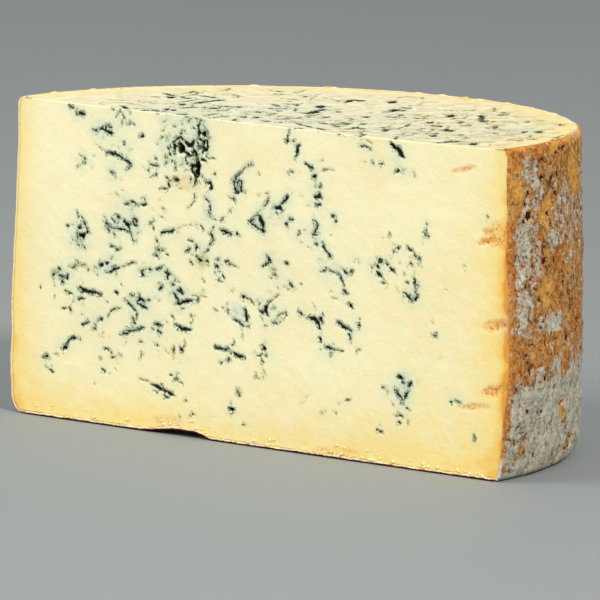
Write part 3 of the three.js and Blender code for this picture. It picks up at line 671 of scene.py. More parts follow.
GROWTHS = tuple(
    Growth(*row)
    for row in (
        (Bark.RUST, -4.2, 62.0, 1.6, 60.0, 0.9), (Bark.GOLD, -0.5, 91.5, 4.6, 3.8, 1.0),
        (Bark.RUST, 8.0, 103.6, 13.0, 2.2, 1.0), (Bark.LILAC, 9.5, 98.0, 3.8, 3.0, 0.7),
        (Bark.BLOOM, 3.5, 76.0, 7.5, 7.5, 0.58), (Bark.BLOOM, 6.0, 97.6, 6.5, 5.2, 0.55),
        (Bark.BLOOM, 9.5, 89.0, 4.0, 6.0, 0.55), (Bark.BLOOM, 11.0, 66.0, 4.6, 4.0, 0.45),
        (Bark.GOLD, 16.0, 83.5, 6.4, 5.8, 0.9), (Bark.GOLD, 39.0, 93.0, 6.0, 7.0, 0.8),
        (Bark.BLOOM, 20.5, 74.0, 3.8, 3.4, 0.8), (Bark.GOLD, 15.0, 58.5, 5.4, 6.8, 0.8),
        (Bark.RUST, 23.5, 58.0, 3.8, 3.4, 0.7), (Bark.BLOOM, 17.5, 48.0, 8.0, 3.4, 1.3),
        (Bark.BLOOM, 1.5, 52.0, 5.5, 9.0, 0.55), (Bark.RUST, 44.0, 53.0, 4.6, 11.5, 1.0),
        (Bark.RUST, 4.0, 39.5, 6.8, 6.8, 0.55), (Bark.RUST, 13.5, 42.5, 3.8, 3.6, 0.9),
        (Bark.RUST, 32.0, 35.0, 5.2, 5.4, 0.9), (Bark.OLIVE, 18.0, 31.5, 4.2, 2.2, 0.5),
        (Bark.OLIVE, 22.5, 17.5, 3.2, 1.8, 0.5), (Bark.GOLD, 32.5, 18.2, 2.2, 3.2, 0.8),
        (Bark.LILAC, 3.5, 11.5, 4.4, 5.6, 0.6), (Bark.OLIVE, -1.5, 3.5, 2.2, 1.2, 0.7),
        (Bark.RUST, 37.0, 5.0, 2.6, 1.4, 0.8), (Bark.RUST, 42.5, 8.0, 3.4, 2.6, 0.7),
    )
)

# Mite holes and cracks of the rind: distance round the wall, height and half width
PITS: tuple[tuple[float, float, float], ...] = (
    (22.4, 101.4, 0.9), (24.6, 103.0, 0.8), (27.6, 102.2, 1.1), (29.2, 103.4, 0.7), (26.5, 97.5, 1.0),
    (19.5, 93.5, 0.9), (23.5, 94.5, 0.8), (11.0, 91.0, 0.9), (18.5, 91.5, 0.8), (4.5, 83.0, 1.3),
    (6.0, 83.6, 0.8), (2.0, 82.0, 0.7), (14.0, 68.0, 1.2), (13.5, 71.0, 0.8), (21.5, 68.5, 0.9),
    (29.0, 59.5, 1.0), (32.0, 57.0, 0.9), (34.0, 54.5, 1.0), (14.5, 42.0, 0.8), (5.5, 34.0, 0.9),
    (2.0, 35.0, 0.8), (15.0, 31.5, 0.8), (29.0, 26.5, 0.8), (5.0, 21.0, 0.7), (37.0, 5.0, 1.2),
    (41.0, 9.0, 1.1), (44.4, 6.6, 1.2),
)


# ---- Meshes ----


@dataclass
class Shell:
    """A closed mesh in the making: grids of points, and the triangles that cover and join them."""

    name: str
    points: list[Array] = field(default_factory=list)
    fields: list[dict[str, Array]] = field(default_factory=list)
    faces: list[Array] = field(default_factory=list)
    face_uvs: list[Array] = field(default_factory=list)
    count: int = 0

    def add(self, grid: Array, values: dict[str, Array] | None = None) -> Array:
        """Add a grid of points.

        Args:
            grid: points in mm, with x, y and z in the last axis.
            values: a number for each point, by the name of the attribute that holds it.

        Returns:
            The points' indices, in the grid's own shape.
        """
        index = self.count + np.arange(grid[..., 0].size).reshape(grid.shape[:-1])
        self.points.append(grid.reshape(-1, 3))
        self.fields.append({key: value.ravel() for key, value in (values or {}).items()})
        self.count += index.size
        return index

    def cover(self, faces: Array, uvs: Number = HIDDEN_UV) -> None:
        """Add triangles, with the place of each corner in the picture map."""
        self.faces.append(faces)
        self.face_uvs.append(np.broadcast_to(uvs, (len(faces), 3, 2)))

    def skin(self, index: Array, uv: Array | None = None) -> None:
        """Cover a grid with triangles: each cell is cut along one diagonal.

        Args:
            index: the grid's indices.
            uv: the grid's place in the picture map, or none for a part that never shows.
        """
        corners = [np.s_[:-1, :-1], np.s_[:-1, 1:], np.s_[1:, 1:], np.s_[1:, :-1]]
        for order in ((0, 1, 2), (0, 2, 3)):
            faces = np.stack([index[corners[c]] for c in order], -1).reshape(-1, 3)
            if uv is None:
                self.cover(faces)
            else:
                self.cover(faces, np.stack([uv[corners[c]] for c in order], -2).reshape(-1, 3, 2))

    def stitch(self, fine: Array, coarse: Array) -> None:
        """Join a closed loop to another with a quarter as many points.

        Four short edges fan to two ends of one long edge, and one triangle fills between the fans.

        Args:
            fine: indices round the fine loop.
            coarse: indices round the coarse loop, starting at the same place.
        """
        f = np.append(fine, fine[0])
        c = np.append(coarse, coarse[0])
        j = np.arange(len(coarse))
        faces = [np.stack([f[4 * j + r], f[4 * j + r + 1], c[j + (r >= 2)]], -1) for r in range(4)]
        faces.append(np.stack([c[j], f[4 * j + 2], c[j + 1]], -1))
        self.cover(np.concatenate(faces))

    def merged(self) -> tuple[Array, Array, Array, Array]:
        """Merge points that meet, drop the triangles that this closes, and turn the rest outwards.

        Returns:
            The points left, which of the added ones they are, the triangles and their corners' places in
            the picture map. The shell faces outwards where its signed volume is above nothing.
        """
        points = np.concatenate(self.points)
        _, first, inverse = np.unique(np.round(points, 4), axis=0, return_index=True, return_inverse=True)
        points = points[first]
        faces = inverse.ravel()[np.concatenate(self.faces)]
        a, b, c = faces.T
        kept = (a != b) & (b != c) & (c != a)
        faces, uvs = faces[kept], np.concatenate(self.face_uvs)[kept]
        p, q, r = (points[faces[:, k]] for k in range(3))
        if np.einsum("ij,ij->i", p, np.cross(q, r)).sum() < 0:
            faces, uvs = faces[:, ::-1], uvs[:, ::-1]
        return points, first, faces, uvs

    def build(self, material: bpy.types.Material) -> bpy.types.Object:
        """Make the object.

        Args:
            material: the piece's finish.

        Returns:
            The object, riding on the part's body and standing for the solid.
        """
        points, first, faces, uvs = self.merged()
        mesh = bpy.data.meshes.new(self.name)
        mesh.vertices.add(len(points))
        mesh.vertices.foreach_set("co", (points * MM).ravel().astype(np.float32))
        mesh.loops.add(faces.size)
        mesh.loops.foreach_set("vertex_index", np.ascontiguousarray(faces, np.int32).ravel())
        mesh.polygons.add(len(faces))
        mesh.polygons.foreach_set("loop_start", np.arange(0, faces.size, 3, dtype=np.int32))
        mesh.polygons.foreach_set("use_smooth", np.ones(len(faces), bool))
        mesh.update(calc_edges=True)
        layer = mesh.uv_layers.new(name="OFBake")
        layer.data.foreach_set("uv", np.ascontiguousarray(uvs, np.float32).ravel())
        sizes = [len(grid) for grid in self.points]
        for key in sorted({key for values in self.fields for key in values}):
            column = [values.get(key, np.zeros(size)) for values, size in zip(self.fields, sizes)]
            attribute = mesh.attributes.new(key, "FLOAT", "POINT")
            attribute.data.foreach_set("value", np.concatenate(column)[first].astype(np.float32))
        mesh.materials.append(material)

        piece = bpy.data.objects.new(self.name, mesh)
        bpy.context.scene.collection.objects.link(piece)
        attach(piece, BODY)
        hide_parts(CAD_NODE)
        LOG.info("%s: %d points, %d triangles", self.name, len(points), len(faces))
        return piece


def rectangle(rows: int, columns: int, left: float, low: float, right: float, high: float) -> Array:
    """A grid of places in the picture map: straight blends from one side of a rectangle to the other."""
    v, u = np.meshgrid(np.linspace(low, high, rows), np.linspace(left, right, columns), indexing="ij")
    return np.stack([u, v], -1)


@dataclass(frozen=True)
class WallSheet:
    """A sheet down the wall and in along the base, to the cut face's lower edge."""

    columns: int
    wall_rows: int
    base_rows: int
    inset: float = 0.0

    def grid(self) -> Array:
        """Make the points.

        Returns:
            The wall's points from the top down, then straight blends from its foot to the cut face's lower
            edge, lifted at the dent.
        """
        share = np.linspace(0, 1, self.columns + 1)
        z = np.linspace(WHEEL.height - self.inset, self.inset, self.wall_rows + 1)
        wall = WHEEL.wall(share[None, :], z[:, None], self.inset)
        front = WHEEL.cut_y + self.inset
        wall[..., 1] = np.maximum(wall[..., 1], front)
        foot = wall[-1]
        x = mix(foot[0, 0], foot[-1, 0], share)
        near = np.stack(np.broadcast_arrays(x, front, self.inset), -1)
        inwards = np.linspace(0, 1, self.base_rows + 1)[1:, None, None]
        base = mix(foot, near, inwards)
        base[..., 2] += WHEEL.dent(base[..., 0], base[..., 1] - WHEEL.cut_y)
        return np.concatenate([wall, base])

    def border(self, index: Array) -> Array:
        """The sheet's border: along the cut's lower edge, up the left, round the top and down the right."""
        rows = self.wall_rows
        return np.concatenate([index[-1, :-1], index[rows:0:-1, -1], index[0, :0:-1], index[:rows, 0]])


@dataclass(frozen=True)
class CutSheet:
    """A sheet up the cut face and back over the level top, to the arc of the rind."""

    columns: int
    face_rows: int
    top_rows: int
    inset: float
    crowding: float = 1.12  # the power that draws the top's rows towards the cut face

    def grid(self) -> Array:
        """Make the points.

        Returns:
            Points of the face from its foot up, with x blended from edge to edge and y waved by the wire,
            then of the top, blended from the face's edge to the arc and dished.
        """
        height, fade = WHEEL.height, WHEEL.wire_fade
        share = np.linspace(0, 1, self.columns + 1)
        rim = 2 * np.sqrt(share * (1 - share))
        z = np.linspace(self.inset, height, self.face_rows + 1)[:, None]
        right, left = (WHEEL.wall(side + 0 * z, z, self.inset)[..., 0] for side in (0, 1))
        x = mix(right, left, share)
        inside = rim * smooth(0, fade, z) * smooth(height, height - fade, z)
        y = WHEEL.cut_y + inside * WHEEL.wire(x, z)
        dish = WHEEL.top_dish * rim - rim * WHEEL.wire(x, WHEEL.cut_y)
        up = mix(WHEEL.dent(x), height, z / height) - dish * (z / height) ** WHEEL.top_dish_fade
        face = np.stack([x, y, up], -1)
        arc = WHEEL.wall(share, np.full_like(share, height), self.inset)
        back = np.linspace(0, 1, self.top_rows + 1)[1:, None] ** self.crowding
        top = mix(face[-1], arc, back[..., None])
        rim = rim * np.sqrt(1 - back)
        top[..., 2] = height - rim * (WHEEL.top_dish - WHEEL.wire(top[..., 0], top[..., 1]))
        return np.concatenate([face, top])

    def border(self, index: Array) -> Array:
        """The sheet's border, in the same order as the wall sheet's."""
        rows = self.face_rows
        return np.concatenate([index[0, :-1], index[:rows, -1], index[-1, :0:-1], index[rows:0:-1, 0]])


# ---- Materials ----


def linear(code: str) -> tuple[float, float, float, float]:
    """Linear colour of an sRGB hex code: the usual power of 2.4 above a short straight start."""
    parts = [int(code[k : k + 2], 16) / 255 for k in (1, 3, 5)]
    return (*(p / 12.92 if p <= 0.04045 else ((p + 0.055) / 1.055) ** 2.4 for p in parts), 1.0)


def per_metre(size: float) -> float:
    """Scale of a pattern whose cells are this many mm across."""
    return 1 / (size * MM)


class Kind(Enum):
    """The nodes in use: each one's type, the inputs that are given in order, its output and its settings."""

    PLACE = ("TexCoord", (), "Object", {})
    DRAWN = ("Attribute", (), "Fac", {})
    NOISE = ("TexNoise", ("Vector", "Scale", "Detail", "Roughness"), 0, {})
    TIMES = ("Math", (0, 1), 0, {"operation": "MULTIPLY"})
    PLUS = ("Math", (0, 1), 0, {"operation": "ADD"})
    LESS = ("Math", (0, 1), 0, {"operation": "SUBTRACT"})
    LEAST = ("Math", (0, 1), 0, {"operation": "MINIMUM"})
    MOST = ("Math", (0, 1), 0, {"operation": "MAXIMUM"})
    UNSIGNED = ("Math", (0,), 0, {"operation": "ABSOLUTE"})
    SPAN = ("MapRange", (0, 3, 4, 1, 2), 0, {})  # value, out at the start and end, in at the start and end
    STEP = ("MapRange", (0, 1, 2, 4), 0, {"interpolation_type": "SMOOTHSTEP"})  # value, start, end, most
    OVER = ("Mix", (0, 6, 7), 2, {"data_type": "RGBA"})  # amount, what is under, what is over
    BUMP = ("Bump", ("Strength", "Distance", "Height"), 0, {})
    SHADER = ("BsdfPrincipled", (), 0, {})
    SURFACE = ("OutputMaterial", ("Surface",), None, {})


@dataclass
class Recipe:
    """A material and its node tree in the making. Grain is the roughness of its patterns."""

    name: str
    grain: float = 0.6
    material: bpy.types.Material = field(init=False)

    def __post_init__(self) -> None:
        """Make the material with an empty tree."""
        self.material = bpy.data.materials.new(self.name)
        self.material.use_nodes = True
        self.material.node_tree.nodes.clear()

    @cached_property
    def place(self) -> Socket:
        """The place on the piece that its patterns go by."""
        return self.add(Kind.PLACE)

    def add(
        self, kind: Kind, *values: object, inputs: dict[str, object] | None = None, **settings: object
    ) -> Socket | None:
        """Add a node with its settings, values and links.

        Args:
            kind: which node.
            values: a number, a hex colour or another node's output for each of its inputs in order.
            inputs: the same, by the input's name.
            settings: the node's own properties.

        Returns:
            The output in use, or None where the node has none.
        """
        node_type, slots, out, usual = kind.value
        tree = self.material.node_tree
        node = tree.nodes.new("ShaderNode" + node_type)
        for key, value in (usual | settings).items():
            setattr(node, key, value)
        for slot, value in (dict(zip(slots, values)) | (inputs or {})).items():
            if isinstance(value, Socket):
                tree.links.new(value, node.inputs[slot])
            else:
                node.inputs[slot].default_value = linear(value) if isinstance(value, str) else value
        return None if out is None else node.outputs[out]

    def speckle(self, size: float, low: float, high: float, detail: float = 2.0) -> Socket:
        """Noise with cells of a size in mm, stretched from its usual middle range to low and high."""
        noise_at = self.add(Kind.NOISE, self.place, per_metre(size), detail, self.grain)
        return self.add(Kind.SPAN, noise_at, low, high, 0.3, 0.7)

    def layered(self, base: Socket | str, *layers: tuple[Socket | str | float, ...]) -> Socket:
        """Lay colours one over another.

        Args:
            base: the lowest colour.
            layers: each next colour, and the factors whose product is its amount, from 0 to 1.

        Returns:
            What shows.
        """
        for colour, amount, *factors in layers:
            for factor in factors:
                amount = self.add(Kind.TIMES, amount, factor)
            base = self.add(Kind.OVER, amount, base, colour)
        return base

    def surface(self, inputs: dict[str, object]) -> bpy.types.Material:
        """Close the tree with its shader."""
        self.add(Kind.SURFACE, self.add(Kind.SHADER, inputs=inputs))
        return self.material


@dataclass(frozen=True)
class BluePaste:
    """Crumbly cow's-milk curd, ripened and cut by wire.

    Dense, faintly moist fat scatters light a millimetre or two deep, so the cream looks soft and has a
    broad, weak gloss. It goes gold towards the rind, and the blue mould dries to a matt green-black in
    the seams, with a grey bloom and a pale green stain about it.
    """

    cream: str = "#F8EDC0"
    cream_warm: str = "#F6E5B1"
    cream_cool: str = "#F1EDC2"
    gold: str = "#F6DC8A"
    gold_deep: str = "#F2BF55"
    gold_rim: str = "#E0912C"
    stain: str = "#E0E5BF"
    haze: str = "#C8D2BA"
    pale_haze: str = "#DCDFCE"
    slate: str = "#949F94"
    dry: str = "#EFE4BF"
    dry_tan: str = "#CDB884"
    olive: str = "#B9A452"
    rust: str = "#F0AC56"
    rust_dark: str = "#A9561C"
    faint: str = "#ACA974"
    bloom: str = "#A3B094"
    mould: str = "#455230"
    mould_dark: str = "#090E03"
    hollow: str = "#6B4A22"
    roughness: float = 0.5
    mould_roughness: float = 0.85
    ior: float = 1.45
    gloss: float = 0.25
    scatter: float = 0.1
    scatter_colour: tuple[float, float, float] = (1.0, 0.8, 0.45)
    scatter_mm: float = 1.4
    crumb_mm: float = 0.3

    def make(self) -> bpy.types.Material:
        """Build the material.

        Returns:
            The material: cream, then each stain over it by its attribute, broken up by noise.
        """
        r = Recipe("ripened_blue_paste")
        add, speckle = r.add, r.speckle
        dry, gold, halo, haze, olive, rust, shade, gap, pit = (
            add(Kind.DRAWN, attribute_name=key)
            for key in ("dry", "gold", "halo", "haze", "olive", "rust", "shade", "gap", "pit")
        )

        # Curd lumps show as clouds 2 cm across, and the crumb itself as a mottle of 4 mm and finer
        ripe = add(Kind.TIMES, gold, speckle(7.0, 0.75, 1.25))
        film = add(Kind.TIMES, add(Kind.TIMES, halo, halo), speckle(1.2, -0.9, 1.6, 3.0))
        curd = r.layered(
            self.cream,
            (self.cream_warm, speckle(22.0, -0.5, 0.9, 3.0)),
            (self.cream_cool, speckle(4.0, -0.4, 0.7)),
            (self.dry, dry, 0.85),
            (self.dry_tan, dry, speckle(4.5, -0.4, 1.2, 4.0)),
            (self.gold, add(Kind.STEP, ripe, 0.0, 0.85, 0.95)),
            (self.gold_deep, add(Kind.STEP, ripe, 0.8, 1.5, 0.85)),
            (self.gold_rim, add(Kind.STEP, ripe, 1.35, 2.0, 0.85)),
            (self.stain, halo, speckle(2.2, 0.3, 1.7, 3.0)),
            (self.haze, add(Kind.LEAST, film, 1.0)),
            (self.haze, haze, speckle(1.5, 0.0, 1.3, 3.0)),
            (self.pale_haze, haze, speckle(2.6, -0.6, 1.3, 3.0)),
            (self.olive, olive, speckle(1.6, -0.1, 1.0, 3.0)),
            (self.rust, rust, speckle(2.0, 0.2, 1.3, 3.0)),
            (self.rust_dark, rust, speckle(0.9, -1.2, 1.2, 3.0)),
        )

        # A seam is a dark core with a torn edge, a grey-green fringe half a millimetre out, and fine
        # threads that wander along the curd's own cracks; a wide seam has pale crumbs inside it
        core = add(Kind.STEP, add(Kind.PLUS, gap, speckle(0.6, -0.34, 0.34, 3.0)), 0.12, -0.04)
        fringe = add(Kind.STEP, add(Kind.PLUS, gap, speckle(1.2, -0.75, 0.75, 3.0)), 1.25, -0.05)
        beside = add(Kind.STEP, add(Kind.PLUS, gap, speckle(2.0, -0.9, 0.9)), 1.3, 0.2)
        cracks = add(Kind.LESS, add(Kind.NOISE, r.place, per_metre(2.8), 2.5, r.grain), 0.5)
        thread = add(Kind.TIMES, add(Kind.STEP, add(Kind.UNSIGNED, cracks), 0.03, 0.006), beside)
        tone = add(Kind.PLUS, add(Kind.TIMES, core, 0.68), add(Kind.TIMES, fringe, 0.32))
        tone = add(Kind.MOST, tone, add(Kind.TIMES, thread, 0.5))
        wide = add(Kind.STEP, gap, -0.35, -0.75, 0.5)
        crumbs = add(Kind.TIMES, wide, add(Kind.STEP, speckle(0.8, 0.0, 1.0), 0.62, 0.78))
        tone = add(Kind.TIMES, tone, add(Kind.LESS, 1.0, crumbs))
        ink = add(Kind.TIMES, add(Kind.TIMES, tone, shade), speckle(1.9, 0.66, 1.3))
        ink = add(Kind.TIMES, ink, speckle(0.7, 0.75, 1.2, 3.0))
        darker = add(Kind.STEP, shade, 0.35, 0.85)
        mist = r.layered(self.faint, (self.bloom, darker), (self.slate, haze, 1.2))
        colour = r.layered(
            curd,
            (mist, add(Kind.STEP, ink, 0.03, 0.26, 0.9)),
            (self.mould, add(Kind.STEP, ink, 0.2, 0.46)),
            (self.mould_dark, add(Kind.STEP, ink, 0.4, 0.68)),
            (self.hollow, pit, 0.8),
        )

        crumb = add(Kind.NOISE, r.place, per_metre(1.0), 4.0, 0.65)
        relief = add(Kind.PLUS, crumb, add(Kind.TIMES, ink, -0.7))
        return r.surface(
            {
                "Base Color": colour,
                "Roughness": add(Kind.SPAN, ink, self.roughness, self.mould_roughness, 0.2, 0.8),
                "IOR": self.ior,
                "Specular IOR Level": self.gloss,
                "Subsurface Weight": self.scatter,
                "Subsurface Radius": self.scatter_colour,
                "Subsurface Scale": self.scatter_mm * MM,
                "Normal": add(Kind.BUMP, 0.4, self.crumb_mm * MM, relief),
            }
        )


@dataclass(frozen=True)
class DryRind:
    """Natural rind: the wheel's own skin, smoothed by hand, dried and grown over by moulds and mites.

    It is matt, pitted and crumbly. Brown and orange skin shows between powdery grey-white blooms, the
    pits are dark red-brown, and hand-smoothed places stay golden.
    """

    skin: str = "#E8A142"
    # dark skin, also painted as shade in the crust's hollows and in fine specks
    skin_dark_and_shade: str = "#6A2604"
    skin_light_and_highlight: str = "#F0C27A"
    # light skin, also painted as highlights on the crust's high spots
    rust: str = "#E4861C"
    gold: str = "#F0AB40"
    lilac: str = "#A88E7E"
    olive: str = "#A8934A"
    bloom: str = "#BAB69D"
    bloom_warm: str = "#C6AD92"
    bloom_pale: str = "#E6E2CE"
    # warm pale bloom, also painted as fine highlight specks on bare skin
    pale_warm_and_highlight: str = "#F0E4D2"
    # dark red-brown of the pits, also used for the foot's dark line of crust and painted contact shadow
    pit: str = "#4A1506"
    cut: str = "#F7E2B2"
    roughness: float = 0.88
    gloss: float = 0.2
    crust_mm: float = 2.4

    def make(self) -> bpy.types.Material:
        """Build the material.

        Returns:
            The material: skin, then each growth over it by its attribute, broken up by noise.
        """
        r = Recipe("dry_natural_rind", 0.68)
        add, speckle = r.add, r.speckle
        cut, growing = (add(Kind.DRAWN, attribute_name=key) for key in ("cut", "bloom"))

        # Each growth's edge is broken up by flecks of a size in mm and finer
        patchy = []
        for key, size, spread in zip(
            ("rust", "gold", "olive", "lilac", "bloom", "pit"),
            (4.2, 4.6, 3.0, 3.2, 3.6, 1.0),
            (0.5, 0.5, 0.5, 0.5, 0.5, 0.3),
        ):
            broken = add(Kind.PLUS, add(Kind.DRAWN, attribute_name=key), speckle(size, -spread, spread, 5.0))
            patchy.append(add(Kind.STEP, broken, 0.4, 0.6))
        rust, gold, olive, lilac, bloom, pit = patchy

        # Thin bloom is lilac flecks with warm skin between them, thick bloom is an even grey
        thick = add(Kind.STEP, add(Kind.PLUS, growing, speckle(5.0, -0.3, 0.3, 3.0)), 0.35, 0.85)
        dust = add(Kind.STEP, add(Kind.PLUS, growing, speckle(5.0, -0.4, 0.4, 4.0)), 0.2, 0.85, 0.2)
        powder = r.layered(self.bloom_warm, (self.bloom, thick))
        pale = r.layered(self.pale_warm_and_highlight, (self.bloom_pale, thick))
        flecks = add(Kind.PLUS, speckle(0.9, 0.0, 1.0, 4.0), add(Kind.TIMES, thick, 0.6))
        cover = add(Kind.TIMES, bloom, add(Kind.STEP, flecks, 0.4, 0.62))

        # Painted shade in the crust's hollows and painted highlights on its high spots, from the noise of its
        # bump, with fine specks of painted shade and painted highlight; less so under bloom
        crust = add(Kind.NOISE, r.place, per_metre(1.8), 7.0, 0.78)
        shade_and_highlight_specks = speckle(0.8, 0.0, 1.0)
        bare = 1.0
        for growth, left in ((bloom, 0.6), (cut, 0.15), (gold, 0.55), (rust, 0.85)):
            bare = add(Kind.TIMES, bare, add(Kind.SPAN, growth, 1.0, left))
        colour = r.layered(
            self.skin,
            (self.skin_dark_and_shade, speckle(4.0, -0.7, 1.0, 5.0)),
            (self.skin_light_and_highlight, speckle(6.0, -0.9, 0.9, 5.0)),
            (self.cut, cut),
            (self.rust, rust, 0.9),
            (self.gold, gold, 0.85),
            (self.olive, olive, 0.6),
            (self.lilac, lilac, 0.6),
            (powder, dust),
            (powder, cover),
            (pale, cover, speckle(3.6, -0.6, 1.15, 4.0)),
            (pale, cover, speckle(0.8, -1.2, 1.0, 3.0)),
            # painted shade in the crust's hollows
            (self.skin_dark_and_shade, add(Kind.STEP, crust, 0.48, 0.39, 0.95), bare),
            # fine specks of painted shade
            (self.skin_dark_and_shade, add(Kind.STEP, shade_and_highlight_specks, 0.3, 0.05, 0.7), bare),
            # painted highlights on the crust's high spots
            (self.skin_light_and_highlight, add(Kind.STEP, crust, 0.52, 0.6, 0.8), bare),
            (pale, add(Kind.STEP, speckle(1.3, 0.0, 1.0, 3.0), 0.76, 1.0, 0.5)),
            # fine specks of painted highlight
            (self.pale_warm_and_highlight, add(Kind.STEP, shade_and_highlight_specks, 0.7, 0.98, 0.65), bare),
            # mite pits, and along the foot a dark line that is partly dark crust and partly painted contact
            # shadow
            (self.pit, pit),
        )
        raised = add(Kind.TIMES, add(Kind.LESS, crust, 0.5), bare)
        raised = add(Kind.PLUS, raised, add(Kind.TIMES, cover, 0.06))
        return r.surface(
            {
                "Base Color": colour,
                "Roughness": self.roughness,
                "Specular IOR Level": self.gloss,
                "Normal": add(Kind.BUMP, 1.0, self.crust_mm * MM, raised),
            }
        )


@dataclass(frozen=True)
class StudioFloor:
    """Plain pale matt painted board, for the floor only."""

    colour: str = "#8F9391"
    roughness: float = 0.7

    def make(self) -> bpy.types.Material:
        """Build the material: one pale colour, quite rough."""
        return Recipe("studio_floor").surface({"Base Color": self.colour, "Roughness": self.roughness})


# ---- The paste ----


@dataclass
class Mould:
    """What the mould does at each point of the unfolded cut: x across, t up the face and on over the top."""

    x: Array
    t: Array
    reach: float = 6.0
    bend: float = 0.5
    bend_size: float = 3.2
    raggedness: float = 0.35
    bead: float = 0.5
    bead_size: float = 1.3
    tip: float = 0.5  # of a seam's half width, at its ends
    stain: float = 0.62
    stain_reach: float = 2.6
    stain_end: float = 2.0
    values: dict[str, Array] = field(init=False)

    def __post_init__(self) -> None:
        """Bend the plane by noise, so that no seam runs straight, and start every value at nothing."""
        keys = ("shade", "halo", "haze", "olive", "rust", "pit")
        self.values = {key: np.zeros(self.x.shape) for key in keys}
        self.values["gap"] = np.full(self.x.shape, self.reach)
        bends = [self.bend * rough(self.x, self.t, z, self.bend_size, 2) for z in (3.0, 41.0)]
        self.x, self.t = self.x + bends[0], self.t + bends[1]

    def near(self, x: Array, t: Array) -> Array:
        """Which points lie within reach of a box round some places."""
        across = (self.x > x.min() - self.reach) & (self.x < x.max() + self.reach)
        return across & (self.t > t.min() - self.reach) & (self.t < t.max() + self.reach)

    def seam(self, laid: Vein, stout: float = 1.0, lift: float = 0.0) -> None:
        """Lay one seam: the distance to its nearest stretch, less a half width that tapers to its ends.

        Args:
            laid: the seam.
            stout: what its half width is multiplied by.
            lift: what to add to its second coordinate to place it on the unfolded plane.
        """
        path = np.array(laid.path) + (0, lift)
        near = self.near(path[:, 0], path[:, 1])
        x, t = self.x[near][:, None], self.t[near][:, None]
        start, step = path[:-1], np.diff(path, axis=0)
        length = np.maximum(np.hypot(*step.T), 1e-3)
        share = np.clip(((x - start[:, 0]) * step[:, 0] + (t - start[:, 1]) * step[:, 1]) / length**2, 0, 1)
        gap = np.hypot(x - start[:, 0] - share * step[:, 0], t - start[:, 1] - share * step[:, 1])
        along = (np.cumsum(length) - length + share * length) / length.sum()
        taper = 1 - self.tip * np.abs(2 * along - 1) ** 3
        beads = 1 + self.bead * noise(x / self.bead_size, t / self.bead_size, 9.0)
        gap = (gap - stout * laid.half_width * taper * beads).min(axis=1)
        closest, shade, halo = self.values["gap"], self.values["shade"], self.values["halo"]
        shade[near] = np.where(gap < closest[near], laid.shade, shade[near])
        closest[near] = np.minimum(closest[near], gap)
        stained = fall(gap, self.stain * laid.shade**1.7, self.stain_reach)
        halo[near] = 1 - (1 - halo[near]) * (1 - stained * smooth(self.reach, self.stain_end, gap))

    def oval(self, spot: Patch | Hollow, z: float, size: float) -> Array:
        """How far each point is from the middle of a tilted oval, with 1 at its edge.

        Args:
            spot: the patch or hole that has the oval.
            z: slice of the noise that pushes the edge in and out.
            size: cell size of the noise in mm.

        Returns:
            A number for each point.
        """
        turn = math.radians(spot.tilt)
        dx, dt = self.x - spot.x, self.t - spot.t
        u = (dx * math.cos(turn) + dt * math.sin(turn)) / spot.half_x
        v = (dt * math.cos(turn) - dx * math.sin(turn)) / spot.half_t
        return np.hypot(u, v) + self.raggedness * rough(self.x, self.t, z, size, 2)

    def patch(self, spot: Patch) -> None:
        """Lay one patch: a smooth fall over the oval's edge."""
        value = self.values[spot.kind.value]
        np.maximum(value, spot.strength * smooth(1.3, 0.5, self.oval(spot, 17.0, 4.0)), out=value)

    def hollow(self, hole: Hollow) -> Array:
        """Lay one open hole, lined with mould or, where it is brown, bare.

        Args:
            hole: the hole.

        Returns:
            The depth in mm at every point: a bowl with smooth sides and an edge bent by noise.
        """
        bowl = smooth(1.2, 0.4, self.oval(hole, 2.0, 1.8))
        lining = 0.5 - 1.05 * (1 - hole.brown) * bowl + 0.5 * rough(self.x, self.t, 5.0, 1.3, 2)
        lining = np.where(bowl > 0, lining, self.reach)
        gap, shade, pit = self.values["gap"], self.values["shade"], self.values["pit"]
        self.values["pit"] = np.maximum(pit, hole.brown * bowl)
        self.values["shade"] = np.where(lining < gap, np.maximum(shade, bowl), shade)
        self.values["gap"] = np.minimum(gap, lining)
        return hole.depth * bowl


@dataclass(frozen=True)
class Strays:
    """Small faint seams that gather about laid ones.

    Spread is how far off they lie in mm, and size how much larger they are than those of the cut face.
    """

    count: int
    spread: float
    seed: int
    size: float = 1.0
    darkest: float = 0.55
    faintest: float = 0.1
    shortest: float = 0.2
    longest: float = 2.2
    thinnest: float = 0.14
    thickest: float = 0.34
    bend: float = 0.7

    def about(self, laid: tuple[Vein, ...]) -> tuple[Vein, ...]:
        """Make the seams, of one stretch each, or of two where they are large.

        Args:
            laid: the seams to gather about.

        Returns:
            The stray seams.
        """
        chance = np.random.default_rng(self.seed)
        found = []
        for _ in range(self.count):
            x, t = laid[chance.integers(len(laid))].path[0] + chance.normal(0, self.spread, 2)
            turn, length = chance.uniform(0, math.pi), self.size * chance.uniform(self.shortest, self.longest)
            path = [(x, t)]
            for _ in range(1 + (self.size > 1)):
                x, t = x + length * math.cos(turn), t + length * math.sin(turn)
                path.append((x, t))
                turn += chance.normal(0, self.bend)
            shade = self.faintest + (self.darkest - self.faintest) * chance.random() ** 2.0
            half = (0.7 + 0.3 * self.size) * chance.uniform(self.thinnest, self.thickest)
            found.append(Vein(half, shade, tuple(path)))
        return tuple(found)


def turned(laid: tuple[Vein, ...], seed: int, slender: float = 1.0) -> tuple[Vein, ...]:
    """Turn each slender seam about its own middle by a random angle, so that they don't run side by side.

    Args:
        laid: the seams.
        seed: start of the random order.
        slender: half width under which a seam is turned.

    Returns:
        The seams, the stout ones unchanged.
    """
    chance = np.random.default_rng(seed)
    found = []
    for seam in laid:
        turn = chance.uniform(-1.5, 1.5) if seam.half_width < slender else 0.0
        path = np.array(seam.path)
        middle = path.mean(axis=0)
        spin = np.array([[math.cos(turn), math.sin(turn)], [-math.sin(turn), math.cos(turn)]])
        found.append(replace(seam, path=tuple(map(tuple, (path - middle) @ spin + middle))))
    return tuple(found)


